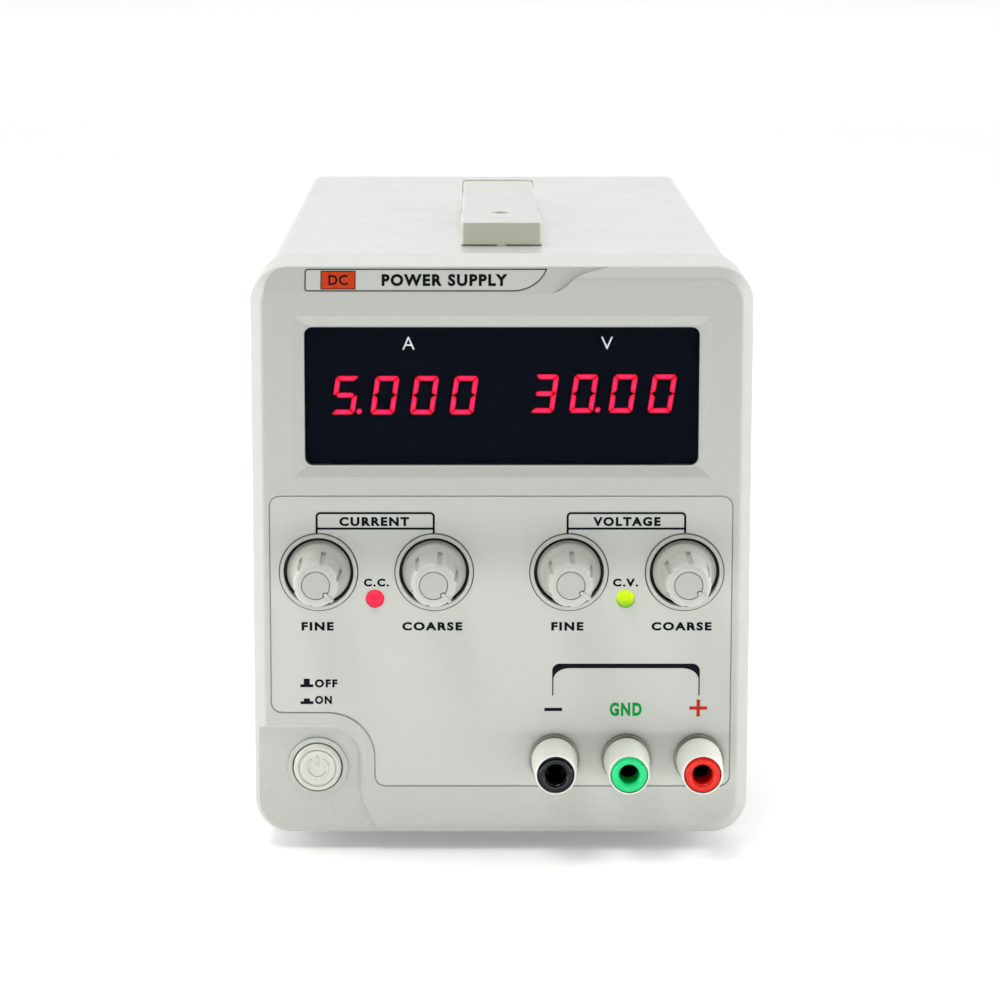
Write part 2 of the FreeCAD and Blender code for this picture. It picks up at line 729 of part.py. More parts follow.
def front_bezel():
    body = new_body("front_bezel")
    top = "bezel_base + bezel_height"
    outline = face_sketch(body, "bezel_front")
    draw_round_box(outline, "-bezel_width / 2", "bezel_base", "bezel_width / 2", top, "bezel_corner")
    pad(body, outline, "bezel_depth")
    front = value("bezel_front")
    shoulder = value(at_depth("bezel_bevel"))
    dress(body, "Chamfer", "bezel_bevel", lambda edge: near(edge, y=front))
    dress(body, "Fillet", "bevel_softness", lambda edge: near(edge, y=front) or near(edge, y=shoulder))

    cavity = face_sketch(body, at_depth("face_thickness"))
    inner = "bezel_width / 2 - bezel_wall"
    draw_round_box(cavity, f"-({inner})", "bezel_base + bezel_wall", inner, f"{top} - bezel_wall",
                   "bezel_corner - bezel_wall")
    pocket(body, cavity, "bezel_depth")

    backing = face_sketch(body, at_depth("face_thickness"))
    for side, _ in KNOBS.values():
        draw_circle(backing, side, "knob_height", "well_radius + 1.8")
    pad(body, backing, "well_depth + 2 - face_thickness")
    bosses = face_sketch(body, at_depth("face_thickness"))
    for side, height in BOSSES:
        draw_circle(bosses, side, height, "boss_radius")
    pad(body, bosses, "subframe_depth - face_thickness")
    switch_bosses = face_sketch(body, at_depth("face_thickness"))
    for sign in SIGNS:
        draw_circle(switch_bosses, f"button_side + {sign} * switch_hole", "button_height", "2.2")
    pad(body, switch_bosses, "switch_depth - face_thickness")

    label = face_sketch(body, "bezel_front")
    label_outline(label, "label_gap")
    pocket(body, label, "label_recess")
    round_label(body, "label_gap")
    rings = face_sketch(body, at_depth("-ring_proud"))
    for side, _ in KNOBS.values():
        draw_circle(rings, side, "knob_height", "ring_radius")
    pad(body, rings, "ring_proud + label_recess + 0.5")
    wells = face_sketch(body, at_depth("-ring_proud"))
    for side, _ in KNOBS.values():
        draw_circle(wells, side, "knob_height", "well_radius")
    pocket(body, wells, "ring_proud + well_depth")

    holes = face_sketch(body, at_depth("-1"))
    for side, _ in KNOBS.values():
        draw_circle(holes, side, "knob_height", "thread_radius + 0.2")
    for side in LAMPS.values():
        draw_circle(holes, side, "lamp_height", "lamp_radius + 0.1")
    for side in POSTS.values():
        draw_circle(holes, side, "post_height", "bush_radius + 0.1")
    pocket(body, holes, "10")

    surround = [face_sketch(body, "bezel_front"), face_sketch(body, at_depth("window_depth - 0.1"))]
    for sketch, half, tall in (
        (surround[0], "surround_width / 2", "surround_height / 2"),
        (surround[1], "window_width / 2 + 0.45", "window_height / 2 + 0.45"),
    ):
        draw_box(sketch, f"-{half}", f"window_middle - ({tall})", half, f"window_middle + {tall}")
    loft_cut(body, *surround)
    opening = face_sketch(body, "bezel_front")
    draw_round_box(opening, "-window_width / 2", "window_middle - window_height / 2",
                   "window_width / 2", "window_middle + window_height / 2", "window_corner")
    pocket(body, opening, "face_thickness + 1")

    mouth = face_sketch(body, "bezel_front")
    recess_outline(mouth, "recess_edge")
    slope = pocket(body, mouth, "recess_edge")
    slope.TaperAngle = -45
    recess = face_sketch(body, "bezel_front")
    recess_outline(recess, "0")
    pocket(body, recess, "power_recess")
    button_ring = face_sketch(body, at_depth("power_recess - 0.6"))
    draw_circle(button_ring, "button_side", "button_height", "button_ring")
    pad(body, button_ring, "1")
    button_hole = face_sketch(body, at_depth("-1"))
    draw_circle(button_hole, "button_side", "button_height", "button_radius + button_gap")
    pocket(body, button_hole, "10")

    tab = tilted_sketch(body)
    draw_tab(tab)
    shelf = pocket(body, tab, "tab_depth", backwards=True)
    shelf.TaperAngle = value("tab_draft")
    plate = tilted_sketch(body)
    plate_outline(plate, "0.1")
    pocket(body, plate, "plate_thickness - 0.1")
    round_plate(body)


def display_window():
    body = new_body("display_window")
    sketch = face_sketch(body, at_depth("window_depth"))
    draw_round_box(sketch, "0.1 - window_width / 2", "window_middle - window_height / 2 + 0.1",
                   "window_width / 2 - 0.1", "window_middle + window_height / 2 - 0.1", "window_corner")
    pad(body, sketch, "window_thickness")


def control_label():
    body = new_body("control_label")
    sketch = face_sketch(body, at_depth("label_recess - label_thickness"))
    label_outline(sketch, "0")
    pad(body, sketch, "label_thickness")
    round_label(body, "0")
    holes = face_sketch(body, at_depth("-1"))
    for side, _ in KNOBS.values():
        draw_circle(holes, side, "knob_height", "ring_radius + 0.1")
    for side in LAMPS.values():
        draw_circle(holes, side, "lamp_height", "lamp_radius + 0.1")
    for side in POSTS.values():
        draw_circle(holes, side, "post_height", "bush_radius + 0.1")
    pocket(body, holes, "3")


def nameplate():
    body = new_body("nameplate")
    sketch = tilted_sketch(body)
    plate_outline(sketch, "0")
    pad(body, sketch, "plate_thickness - 0.15")
    round_plate(body)


# ---- Steel case -----------------------------------------------------------------------------

def top_cover():
    body = new_body("top_cover")
    sketch = face_sketch(body, at_depth("bezel_depth + case_gap"))
    outer = "cover_width / 2"
    inner = "cover_width / 2 - metal"
    draw_outline(sketch, [
        (f"-({outer})", "chassis_bottom"), (f"-({inner})", "chassis_bottom"),
        (f"-({inner})", "cover_top - metal"), (inner, "cover_top - metal"),
        (inner, "chassis_bottom"), (outer, "chassis_bottom"),
        (outer, "cover_top"), (f"-({outer})", "cover_top"),
    ])
    pad(body, sketch, "cover_end - bezel_depth - case_gap")
    dress(body, "Fillet", "cover_corner",
          lambda edge: runs_along("y")(edge) and near(edge, z=value("cover_top")))
    dress(body, "Fillet", "cover_corner - metal",
          lambda edge: runs_along("y")(edge) and near(edge, z=value("cover_top - metal"))
          and abs(edge.valueAt(0).x) > value(inner) - 0.1)
    for low in ("46", "80"):
        slots = sketch_on(body, "YZ_Plane")
        draw_slot(slots, at_depth("slot_start"), low, f"{low} + slot_length", "slot_width")
        cuts = pocket(body, slots, "cover_width + 2")
        cuts.Midplane = True
        row = body.newObject("PartDesign::LinearPattern", "SlotRow")
        row.Originals = [cuts]
        row.Direction = (slots, ["H_Axis"])
        bind(row, Length="slot_pitch * (slot_count - 1)", Occurrences="slot_count")
        body.Tip = row
    screws = sketch_on(body, "YZ_Plane")
    for depth in COVER_SCREWS:
        draw_circle(screws, at_depth(depth), "cover_screw_height", "1.7")
    pocket(body, screws, "cover_width + 2").Midplane = True
    handle = sketch_on(body, "XY_Plane", "cover_top + 1")
    for depth in HANDLE_SCREWS:
        draw_circle(handle, "handle_middle", at_depth(depth), "2.1")
    pocket(body, handle, "4")


def chassis_base():
    floor = block("-chassis_half", at_depth("bezel_depth + case_gap"), "floor_height",
                  "2 * chassis_half", "cover_end - 1 - bezel_depth - case_gap", "floor_metal")
    flanges = [
        block(left, at_depth("bezel_depth + 2"), "floor_height", "floor_metal",
              "cover_end - 4 - bezel_depth", "chassis_flange")
        for left in ("-chassis_half", "chassis_half - floor_metal")
    ]
    subframe = block("-subframe_half", at_depth("subframe_depth"), "floor_height + 1.8",
                     "2 * subframe_half", "floor_metal", "subframe_tall")
    tongue = block("-52", at_depth("subframe_depth"), "floor_height", "104",
                   "bezel_depth + case_gap - subframe_depth + 0.5", "floor_metal + 1.6")
    body = fused(floor, *flanges, subframe, tongue)
    mouth = block("-46", at_depth("subframe_depth - 1"), "28", "92", "4", "106")
    switch_hole = rod("button_side", at_depth("subframe_depth - 1"), "button_height", "9.5", "4")
    holes = [
        rod(x, at_depth("subframe_depth - 1"), z, "1.6", "4")
        for x, z in BOSSES
    ]
    holes += [
        rod(f"{sign} * chassis_half - 3", at_depth(depth), "cover_screw_height", "1.5", "6", "x")
        for sign in SIGNS for depth in COVER_SCREWS
    ]
    vents = [
        block(f"{sign} * 24 - 14", at_depth(f"176 + {step} * 9"), "floor_height - 1", "28", "3.5", "4")
        for sign in SIGNS for step in range(7)
    ]
    named(cut(body, mouth, switch_hole, *holes, *vents), "chassis_base")


def rear_panel():
    body = new_body("rear_panel")
    sketch = face_sketch(body, at_depth("cover_end - metal"))
    draw_round_box(sketch, "-chassis_half - 0.2", "floor_height + floor_metal + 0.1", "chassis_half + 0.2",
                   "cover_top - metal - 0.3", "cover_corner - metal")
    pad(body, sketch, "metal")
    holes = face_sketch(body, at_depth("cover_end - 3"))
    draw_circle(holes, "fan_side", "fan_height", "fan_bore - 0.5")
    for across in SIGNS:
        for up in SIGNS:
            draw_circle(holes, f"fan_side + {across} * fan_hole", f"fan_height + {up} * fan_hole", "2.2")
    draw_box(holes, "inlet_side - inlet_width / 2 - 0.1", "inlet_height - inlet_tall / 2 - 0.1",
             "inlet_side + inlet_width / 2 + 0.1", "inlet_height + inlet_tall / 2 + 0.1")
    draw_box(holes, "selector_side - selector_width / 2 + 1.9", "selector_height - selector_tall / 2 + 0.9",
             "selector_side + selector_width / 2 - 1.9", "selector_height + selector_tall / 2 - 0.9")
    pocket(body, holes, "6")


def feet():
    pads = []
    for across in SIGNS:
        for depth in ("foot_front", "foot_rear"):
            x, y = f"{across} * foot_side", at_depth(depth)
            foot = taper(x, y, "0", "foot_radius - 1", "foot_radius", "floor_height", "z")
            recess = rod(x, y, "-1", "4", "floor_height - 2", "z")
            pads.append(cut(foot, recess))
    named(fused(*pads), "feet")


def stub(point, along, outward, low, high, radius):
    """A rod between two distances from a point, measured outward along an axis."""
    at = dict(zip("xyz", point))
    at[along] = f"({at[along]}) + ({low})" if outward > 0 else f"({at[along]}) - ({high})"
    return rod(at["x"], at["y"], at["z"], radius, f"({high}) - ({low})", along)


def pan_screw(point, along, outward, shank, length):
    """A pan-head screw; its head rests on the point and stands outward along an axis."""
    head = stub(point, along, outward, "0", f"1.15 * {shank}", f"1.9 * {shank}")
    recess = stub(point, along, outward, f"0.45 * {shank}", f"2 * {shank}", f"0.75 * {shank}")
    stem = stub(point, along, outward, f"-({length})", "0", shank)
    return fused(cut(head, recess), stem)


def cover_screws():
    screws = [
        pan_screw((f"{sign} * cover_width / 2", at_depth(depth), "cover_screw_height"),
                  "x", int(sign), "1.5", "5")
        for sign in SIGNS for depth in COVER_SCREWS
    ]
    named(fused(*screws), "cover_screws")


# ---- Cooling fan ----------------------------------------------------------------------------

FAN_FRONT = at_depth("cover_end - metal - fan_thickness")


def fan_corners(y):
    return [
        (f"fan_side + {across} * fan_hole", y, f"fan_height + {up} * fan_hole")
        for across in SIGNS for up in SIGNS
    ]


def fan_frame():
    case = rounded(block("fan_side - fan_size / 2", FAN_FRONT, "fan_height - fan_size / 2",
                         "fan_size", "fan_thickness", "fan_size"), "4", runs_along("y"))
    bore = rod("fan_side", f"{FAN_FRONT} - 1", "fan_height", "fan_bore", "fan_thickness + 2")
    waist = [
        block(f"fan_side + {across} * (fan_size / 2 + 6) - 10", f"{FAN_FRONT} + 4", f"fan_height - 50",
              "20", "fan_thickness - 8", "100")
        for across in SIGNS
    ]
    waist += [
        block("fan_side - 50", f"{FAN_FRONT} + 4", f"fan_height + {up} * (fan_size / 2 + 6) - 10",
              "100", "fan_thickness - 8", "20")
        for up in SIGNS
    ]
    barrel = rod("fan_side", FAN_FRONT, "fan_height", "fan_bore + 1.5", "fan_thickness")
    flanges = cut(case, *waist)
    holes = [rod(x, y, z, "2.15", "fan_thickness + 2") for x, y, z in fan_corners(f"{FAN_FRONT} - 1")]
    shell = cut(fused(flanges, barrel), bore, *holes)
    hub = rod("fan_side", FAN_FRONT, "fan_height", "fan_hub", "3.5")
    bearing = rod("fan_side", f"{FAN_FRONT} + 1", "fan_height", "1.5 + running_gap", "5")
    struts = []
    for turn in (45, 135):
        strut = doc.addObject("Part::Box", "Strut")
        bind(strut, Length="2 * fan_bore + 1", Width="3", Height="4")
        middle = Vector(value("fan_side"), value(FAN_FRONT), value("fan_height"))
        spin = Rotation(Vector(0, 1, 0), turn)
        start = middle - spin.multVec(Vector(value("fan_bore") + 0.5, 0, 2))
        strut.Placement = Placement(start, spin)
        struts.append(strut)
    named(cut(fused(shell, hub, *struts), bearing), "fan_frame")


def fan_rotor():
    """Hub cup with swept blades, trimmed to a round outline."""
    start = f"{FAN_FRONT} + 4.4"
    hub = rod("fan_side", start, "fan_height", "fan_hub + 0.8", "fan_thickness - 6")
    axle = rod("fan_side", f"{start} - 3", "fan_height", "1.5", "5")
    middle = Vector(value("fan_side"), value(start), value("fan_height"))
    count = int(value("blade_count"))
    blades = []
    for step in range(count):
        blade = doc.addObject("Part::Box", "Blade")
        bind(blade, Length="1.4", Width="24", Height="fan_bore")
        spin = Rotation(Vector(0, 1, 0), step * 360 / count).multiply(Rotation(Vector(0, 0, 1), 48))
        offset = spin.multVec(Vector(-0.7, -12, value("fan_hub") - 1))
        blade.Placement = Placement(middle + offset + Vector(0, value("fan_thickness") / 2 - 3, 0), spin)
        blades.append(blade)
    envelope = rod("fan_side", f"{start} + 0.4", "fan_height", "fan_bore - 0.8", "fan_thickness - 7")
    trimmed = doc.addObject("Part::MultiCommon", "Trimmed")
    trimmed.Shapes = [fused(*blades), envelope]
    named(fused(hub, axle, trimmed), "fan_rotor")


def fan_guard():
    plane = at_depth("cover_end + wire_radius + 0.1")
    front_plane = at_depth("cover_end + 2.5 * wire_radius + 0.1")
    rings = [
        ring("fan_side", plane, "fan_height", radius, "wire_radius")
        for radius in ("11", "19", "27", "35")
    ]
    spokes = []
    for turn in (0, 90):
        for side in ("-5", "5"):
            spoke = doc.addObject("Part::Cylinder", "Spoke")
            bind(spoke, Radius="wire_radius", Height="2 * 36.5")
            spin = Rotation(Vector(0, 1, 0), turn)
            offset = spin.multVec(Vector(float(side), 0, -36.5))
            spoke.Placement = Placement(
                Vector(value("fan_side"), value(front_plane), value("fan_height")) + offset, spin)
            spokes.append(spoke)
    ears = []
    for x, y, z in fan_corners(plane):
        ears.append(ring(x, y, z, "3.2", "wire_radius"))
    arms = []
    for across in (-1, 1):
        for up in (-1, 1):
            arm = doc.addObject("Part::Cylinder", "Arm")
            reach = value("fan_hole") * math.sqrt(2) - 3.2 - 34.5
            bind(arm, Radius="wire_radius", Height=str(reach))
            outward = Vector(across, 0, up)
            outward.normalize()
            spin = Rotation(Vector(0, 0, 1), outward)
            arm.Placement = Placement(
                Vector(value("fan_side"), value(plane), value("fan_height")) + outward * 34.5, spin)
            arms.append(arm)
    named(fused(*rings, *spokes, *ears, *arms), "fan_guard")


def fan_screws():
    screws = [
        pan_screw(place, "y", 1, "1.9", "fan_thickness + 3")
        for place in fan_corners(at_depth("cover_end + 2 * wire_radius + 0.2"))
    ]
    named(fused(*screws), "fan_screws")


# ---- Mains inlet, fuse and voltage selector -------------------------------------------------

INLET_FACE = at_depth("cover_end + inlet_lip")
SOCKET_HEIGHT = "inlet_height - 5.2"
DRAWER_HEIGHT = "inlet_height + 9.6"
INLET_PINS = [("(-7)", "(-2)"), ("0", "2"), ("7", "(-2)")]


def inlet_housing():
    left = "inlet_side - inlet_width / 2"
    bottom = "inlet_height - inlet_tall / 2"
    plate = block(f"{left} - 2", at_depth("cover_end"), f"{bottom} - 3",
                  "inlet_width + 4", "inlet_lip", "inlet_tall + 6")
    lip = rounded(plate, "2", runs_along("y"))
    shell = block(left, at_depth("cover_end - inlet_reach"), bottom,
                  "inlet_width", "inlet_reach + 0.5", "inlet_tall")
    cavity_start = f"{INLET_FACE} - socket_deep"
    cavity = block("inlet_side - socket_width / 2", cavity_start, f"{SOCKET_HEIGHT} - socket_tall / 2",
                   "socket_width", "socket_deep + 1", "socket_tall")
    corners = rounded(cavity, "1", runs_along("y"))
    drawer = block("inlet_side - drawer_width / 2", f"{INLET_FACE} - drawer_deep",
                   f"{DRAWER_HEIGHT} - drawer_tall / 2", "drawer_width", "drawer_deep + 1", "drawer_tall")
    pin_slots = [
        block(f"inlet_side + {x} - 2", f"{INLET_FACE} - inlet_reach - 4", f"{SOCKET_HEIGHT} + {z} - 1",
              "4", "12", "2")
        for x, z in INLET_PINS
    ]
    named(cut(fused(lip, shell), corners, drawer, *pin_slots), "inlet_housing")


def inlet_pins():
    pins = [
        rounded(block(f"inlet_side + {x} - 2", f"{INLET_FACE} - inlet_reach - 7",
                      f"{SOCKET_HEIGHT} + {z} - 1", "4", "inlet_reach + 4", "2"), "0.4", runs_along("y"))
        for x, z in INLET_PINS
    ]
    named(fused(*pins), "inlet_pins")


def fuse_drawer():
    body = block("inlet_side - drawer_width / 2 + slide_gap", f"{INLET_FACE} - drawer_deep + slide_gap",
                 f"{DRAWER_HEIGHT} - drawer_tall / 2 + slide_gap", "drawer_width - 2 * slide_gap",
                 "drawer_deep - slide_gap + 0.3", "drawer_tall - 2 * slide_gap")
    tray = block("inlet_side - fuse_length / 2 - 0.2", f"{INLET_FACE} - drawer_deep + 3",
                 f"{DRAWER_HEIGHT} - 2.7", "fuse_length + 0.4", "5.6", "8")
    grip = block("inlet_side - 4", f"{INLET_FACE} - 0.9", f"{DRAWER_HEIGHT} - 1.2", "8", "2", "2.4")
    named(cut(body, tray, grip), "fuse_drawer")


def fuse_cartridge():
    middle = f"{INLET_FACE} - drawer_deep + 5.8"
    tube = rod("inlet_side - fuse_length / 2 + 1", middle, DRAWER_HEIGHT, "2.35", "fuse_length - 2", "x")
    caps = [
        rod(x, middle, DRAWER_HEIGHT, "2.6", "5", "x")
        for x in ("inlet_side - fuse_length / 2", "inlet_side + fuse_length / 2 - 5")
    ]
    named(fused(tube, *caps), "fuse_cartridge")


def selector_housing():
    face = at_depth("cover_end")
    lip = rounded(block("selector_side - selector_width / 2", face, "selector_height - selector_tall / 2",
                        "selector_width", "1.2", "selector_tall"), "1.2", runs_along("y"))
    case = block("selector_side - selector_width / 2 + 2", f"{face} - selector_deep",
                 "selector_height - selector_tall / 2 + 1", "selector_width - 4", "selector_deep + 0.4",
                 "selector_tall - 2")
    window = block("selector_side - 7.2", f"{face} - 4", "selector_height - 3.3", "14.4", "8", "6.6")
    named(cut(fused(lip, case), window), "selector_housing")


def selector_slider():
    face = at_depth("cover_end")
    left = "selector_side - 7.2 + slide_gap"
    knob = block(left, f"{face} - 4 + slide_gap", "selector_height - 3", "7.8", "4.6", "6")
    grooves = [
        block(f"{left} + 1.6 + {step} * 1.8", f"{face} + 0.3", "selector_height - 4", "0.8", "2", "8")
        for step in range(3)
    ]
    named(cut(knob, *grooves), "selector_slider")


# ---- Transformer ----------------------------------------------------------------------------

def transformer_core():
    """E and I laminations: an outer yoke, a centre limb and two windows for the winding."""
    stack = block("-core_width / 2", at_depth("core_start"), "core_bottom",
                  "core_width", "core_stack", "core_tall")
    windows = [
        block(x, f"{at_depth('core_start')} - 1", "core_bottom + core_limb",
              "core_limb", "core_stack + 2", "core_tall - 2 * core_limb")
        for x in ("-2 * core_limb", "core_limb")
    ]
    holes = [
        rod(f"{across} * (core_width / 2 - 6)", f"{at_depth('core_start')} - 1",
            f"core_bottom + core_tall / 2 + {up} * 34", "2.2", "core_stack + 2")
        for across in SIGNS for up in SIGNS
    ]
    named(cut(stack, *windows, *holes), "transformer_core")


def transformer_winding():
    """The bobbin and its copper, wound round the centre limb."""
    half = "2 * core_limb - 0.6"
    copper = block(f"-({half})", at_depth("core_start - coil_overhang"), "core_bottom + core_limb + 0.6",
                   f"2 * ({half})", "core_stack + 2 * coil_overhang", "core_tall - 2 * core_limb - 1.2")
    coil = rounded(copper, "9", runs_along("z"))
    limb = block("-core_limb - 0.3", f"{at_depth('core_start')} - 0.3", "core_bottom",
                 "2 * core_limb + 0.6", "core_stack + 0.6", "core_tall")
    named(cut(coil, limb), "transformer_winding")


def transformer_clamp():
    """A folded steel strap over the core, screwed to the floor by its two feet."""
    start = f"{at_depth('core_start')} + 4"
    deep = "core_stack - 8"
    top = "core_bottom + core_tall"
    legs = [
        block(x, start, "floor_height + floor_metal", "floor_metal", deep,
              f"{top} + floor_metal - floor_height - floor_metal")
        for x in ("-core_width / 2 - floor_metal", "core_width / 2")
    ]
    bridge = block("-core_width / 2 - 1", start, top, "core_width + 2", deep, "floor_metal")
    under = block("-core_width / 2 - 1", start, "floor_height + floor_metal", "core_width + 2", deep,
                  "core_bottom - floor_height - floor_metal")
    feet = [
        block(x, start, "floor_height + floor_metal", "9", deep, "floor_metal")
        for x in ("-core_width / 2 - 9.5", "core_width / 2 + 0.5")
    ]
    named(fused(*legs, bridge, under, *feet), "transformer_clamp")


# ---- Regulator ------------------------------------------------------------------------------

BOARD_TOP = "board_height + board_thickness"
CANS = [("-40", "184"), ("-40", "214"), ("-10", "184"), ("-10", "214")]


def main_board():
    board = block("-board_half_width", at_depth("board_start"), "board_height",
                  "2 * board_half_width", "board_end - board_start", "board_thickness")
    pillars = [
        rod(f"{across} * (board_half_width - 5)", at_depth(depth), "floor_height + floor_metal", "3",
            "board_height - floor_height - floor_metal + 0.3", "z")
        for across in SIGNS for depth in ("board_start + 5", "board_end - 5")
    ]
    named(fused(board, *pillars), "main_board")


def filter_capacitors():
    cans = [
        rounded(rod(x, at_depth(depth), BOARD_TOP, "can_radius", "can_height", "z"), "1",
                lambda edge: isinstance(edge.Curve, Part.Circle))
        for x, depth in CANS
    ]
    named(fused(*cans), "filter_capacitors")


def heatsink():
    """An extrusion along the depth: a base plate with fins that reach in to the air stream."""
    body = new_body("heatsink")
    sketch = face_sketch(body, at_depth("board_start - 2"))
    back, root, tip = "sink_side + sink_base", "sink_side", "sink_side - sink_reach"
    pitch = "(sink_top - sink_bottom - fin_thickness) / (fin_count - 1)"
    points = [(back, "sink_bottom"), (back, "sink_top")]
    count = int(value("fin_count"))
    for step in reversed(range(count)):
        low = f"sink_bottom + {step} * {pitch}"
        points += [(tip, f"{low} + fin_thickness"), (tip, low)]
        if step:
            below = f"sink_bottom + {step - 1} * {pitch} + fin_thickness"
            points += [(root, low), (root, below)]
    draw_outline(sketch, points)
    pad(body, sketch, "board_end - board_start")


def pass_transistors():
    packs = []
    for depth in ("board_start + 14", "board_start + 40", "board_start + 66"):
        case = block("sink_side + sink_base", at_depth(f"{depth} - 8"), "52", "5", "16", "21")
        legs = [
            block("sink_side + sink_base + 2", at_depth(f"{depth} + {side} - 0.6"), "38",
                  "0.8", "1.2", "14.5")
            for side in ("(-5.4)", "0", "5.4")
        ]
        packs.append(fused(case, *legs))
    named(fused(*packs), "pass_transistors")


def bridge_rectifier():
    x, y, z = "-28", at_depth("48"), "floor_height + floor_metal"
    case = rounded(block(x, y, z, "28.5", "28.5", "11"), "2", runs_along("z"))
    hole = rod(f"{x} + 14.25", f"{y} + 14.25", f"{z} - 1", "2.4", "14", "z")
    tabs = [
        block(f"{x} + {dx}", f"{y} + {dy}", f"{z} + 10.5", "0.8", "6.3", "9")
        for dx, dy in (("5", "2"), ("22", "2"), ("5", "20"), ("22", "20"))
    ]
    named(fused(cut(case, hole), *tabs), "bridge_rectifier")


# ---- Electronics behind the front panel -----------------------------------------------------

def display_board():
    board = block("-window_width / 2 - 5", at_depth("display_board_depth"), "window_middle - 19",
                  "window_width + 10", "board_thickness", "38")
    mounts = [
        rod(f"{across} * (window_width / 2 + 2.4)", at_depth("face_thickness"), f"window_middle + {up} * 15",
            "1.6", "display_board_depth - face_thickness")
        for across in SIGNS for up in SIGNS
    ]
    named(fused(board, *mounts), "display_board")


def digit_modules():
    modules = [
        block(f"{middle} - module_width / 2", at_depth("display_board_depth - module_thickness"),
              "window_middle - module_height / 2", "module_width", "module_thickness", "module_height")
        for middle in ("module_left", "module_right")
    ]
    named(fused(*modules), "digit_modules")


POT_FRONT = "well_depth + 2.1"


def control_board():
    board = block("-56", at_depth(f"{POT_FRONT} + pot_thickness + 0.4"), "knob_height - 16",
                  "112", "board_thickness", "30")
    holes = [
        rod(side, at_depth("10"), "knob_height", "3.6", "10")
        for side, _ in KNOBS.values()
    ]
    named(cut(board, *holes), "control_board")


def potentiometers():
    pots = []
    for side, _ in KNOBS.values():
        can = rounded(rod(side, at_depth(POT_FRONT), "knob_height", "pot_radius", "pot_thickness"), "0.8",
                      lambda edge: isinstance(edge.Curve, Part.Circle))
        bush = rod(side, at_depth("2"), "knob_height", "thread_radius", f"{POT_FRONT} - 1")
        nut = rod(side, at_depth("well_depth - 2.4"), "knob_height", "5.2", "2.4")
        bore = rod(side, at_depth("-2"), "knob_height", "shaft_radius + running_gap", f"{POT_FRONT} + 6.3")
        tags = [
            block(f"({side}) + {dx} - 0.5", at_depth(f"{POT_FRONT} + 3"),
                  "knob_height - pot_radius - 4", "1", "1", "6")
            for dx in ("(-5)", "0", "5")
        ]
        pots.append(cut(fused(can, bush, nut, *tags), bore))
    named(fused(*pots), "potentiometers")


def knob(name, side, pointer):
    """A fluted knob: a skirt that turns in its well, a tapered grip and a raised pointer."""
    body = new_body(f"{name}_knob")
    turned(body, [
        ("shaft_radius", "knob_base"), ("skirt_radius", "knob_base"), ("skirt_radius", "0.9"),
        ("skirt_radius - 0.5", "0.4"), ("knob_radius + 0.55", "-0.9"), ("knob_radius", "-2.6"),
        ("knob_tip_radius", "-knob_front"), ("knob_cap_radius + knob_cap_gap", "-knob_front"),
        ("knob_cap_radius + knob_cap_gap", "1.3 - knob_front"),
        ("shaft_radius", "1.3 - knob_front"),
    ])
    tip = value("-knob_front")
    dress(body, "Fillet", "knob_shoulder",
          lambda edge: near(edge, y=tip) and widest(edge) > value("knob_tip_radius") - 0.1)
    flutes = face_sketch(body, "-knob_front - 1")
    for step in range(1, 6):
        angle = math.radians(60 * step)
        draw_circle(flutes, f"flute_centre * {math.sin(angle):.4f}", f"flute_centre * {math.cos(angle):.4f}",
                    "flute_radius")
    pocket(body, flutes, "knob_front - 2.2")
    pointer_rib = face_sketch(body, "-knob_front - 0.35")
    draw_box(pointer_rib, "-0.45", "pointer_start", "0.45", "knob_tip_radius + 0.25")
    pad(body, pointer_rib, "knob_front - 4")
    put_turning(body, side, pointer)


def knob_cap(name, side, pointer):
    body = new_body(f"{name}_knob_cap")
    turned(body, [
        ("0", "-knob_front + 1.3"), ("knob_cap_radius", "-knob_front + 1.3"),
        ("knob_cap_radius", "-knob_front + 0.1"), ("knob_cap_radius - 0.3", "-knob_front - 0.15"),
        ("0", "-knob_front - 0.15"),
    ])
    notch = face_sketch(body, "-knob_front - 1")
    draw_circle(notch, "0", "knob_cap_radius - 0.05", "0.75")
    pocket(body, notch, "4")
    put_turning(body, side, pointer)


def knob_shaft(name, side, pointer):
    """The potentiometer's shaft, which the knob is pushed on to."""
    body = new_body(f"{name}_shaft")
    turned(body, [
        ("0", f"{POT_FRONT} + 4"), ("shaft_radius", f"{POT_FRONT} + 4"), ("shaft_radius", "1.4 - knob_front"),
        ("0", "1.4 - knob_front"),
    ])
    put_turning(body, side, pointer)


def put_turning(body, side, pointer):
    """Stand a turning piece on its axis, with its pointer at its clock angle."""
    put(body, side, "bezel_front", "knob_height", Rotation(Vector(0, 1, 0), value(pointer)))


def lamp(name, side):
    """A 5 mm lamp: a domed lens with a flange behind the panel."""
    body = new_body(name)
    turned(body, [
        ("0", "7"), ("2.9", "7"), ("2.9", "3.1"), ("lamp_radius", "3.1"), ("lamp_radius", "0.4"),
        ("lamp_radius - 0.25", "-0.5"), ("lamp_radius - 0.9", "-1.25"), ("0", "-1.7"),
    ])
    leads = face_sketch(body, "6.5")
    for across in SIGNS:
        draw_circle(leads, f"{across} * 1.27", "0", "0.3")
    pad(body, leads, f"{POT_FRONT} + pot_thickness + 0.4 - 6.5")
    put(body, side, "bezel_front", "lamp_height")


# ---- Power switch ---------------------------------------------------------------------------

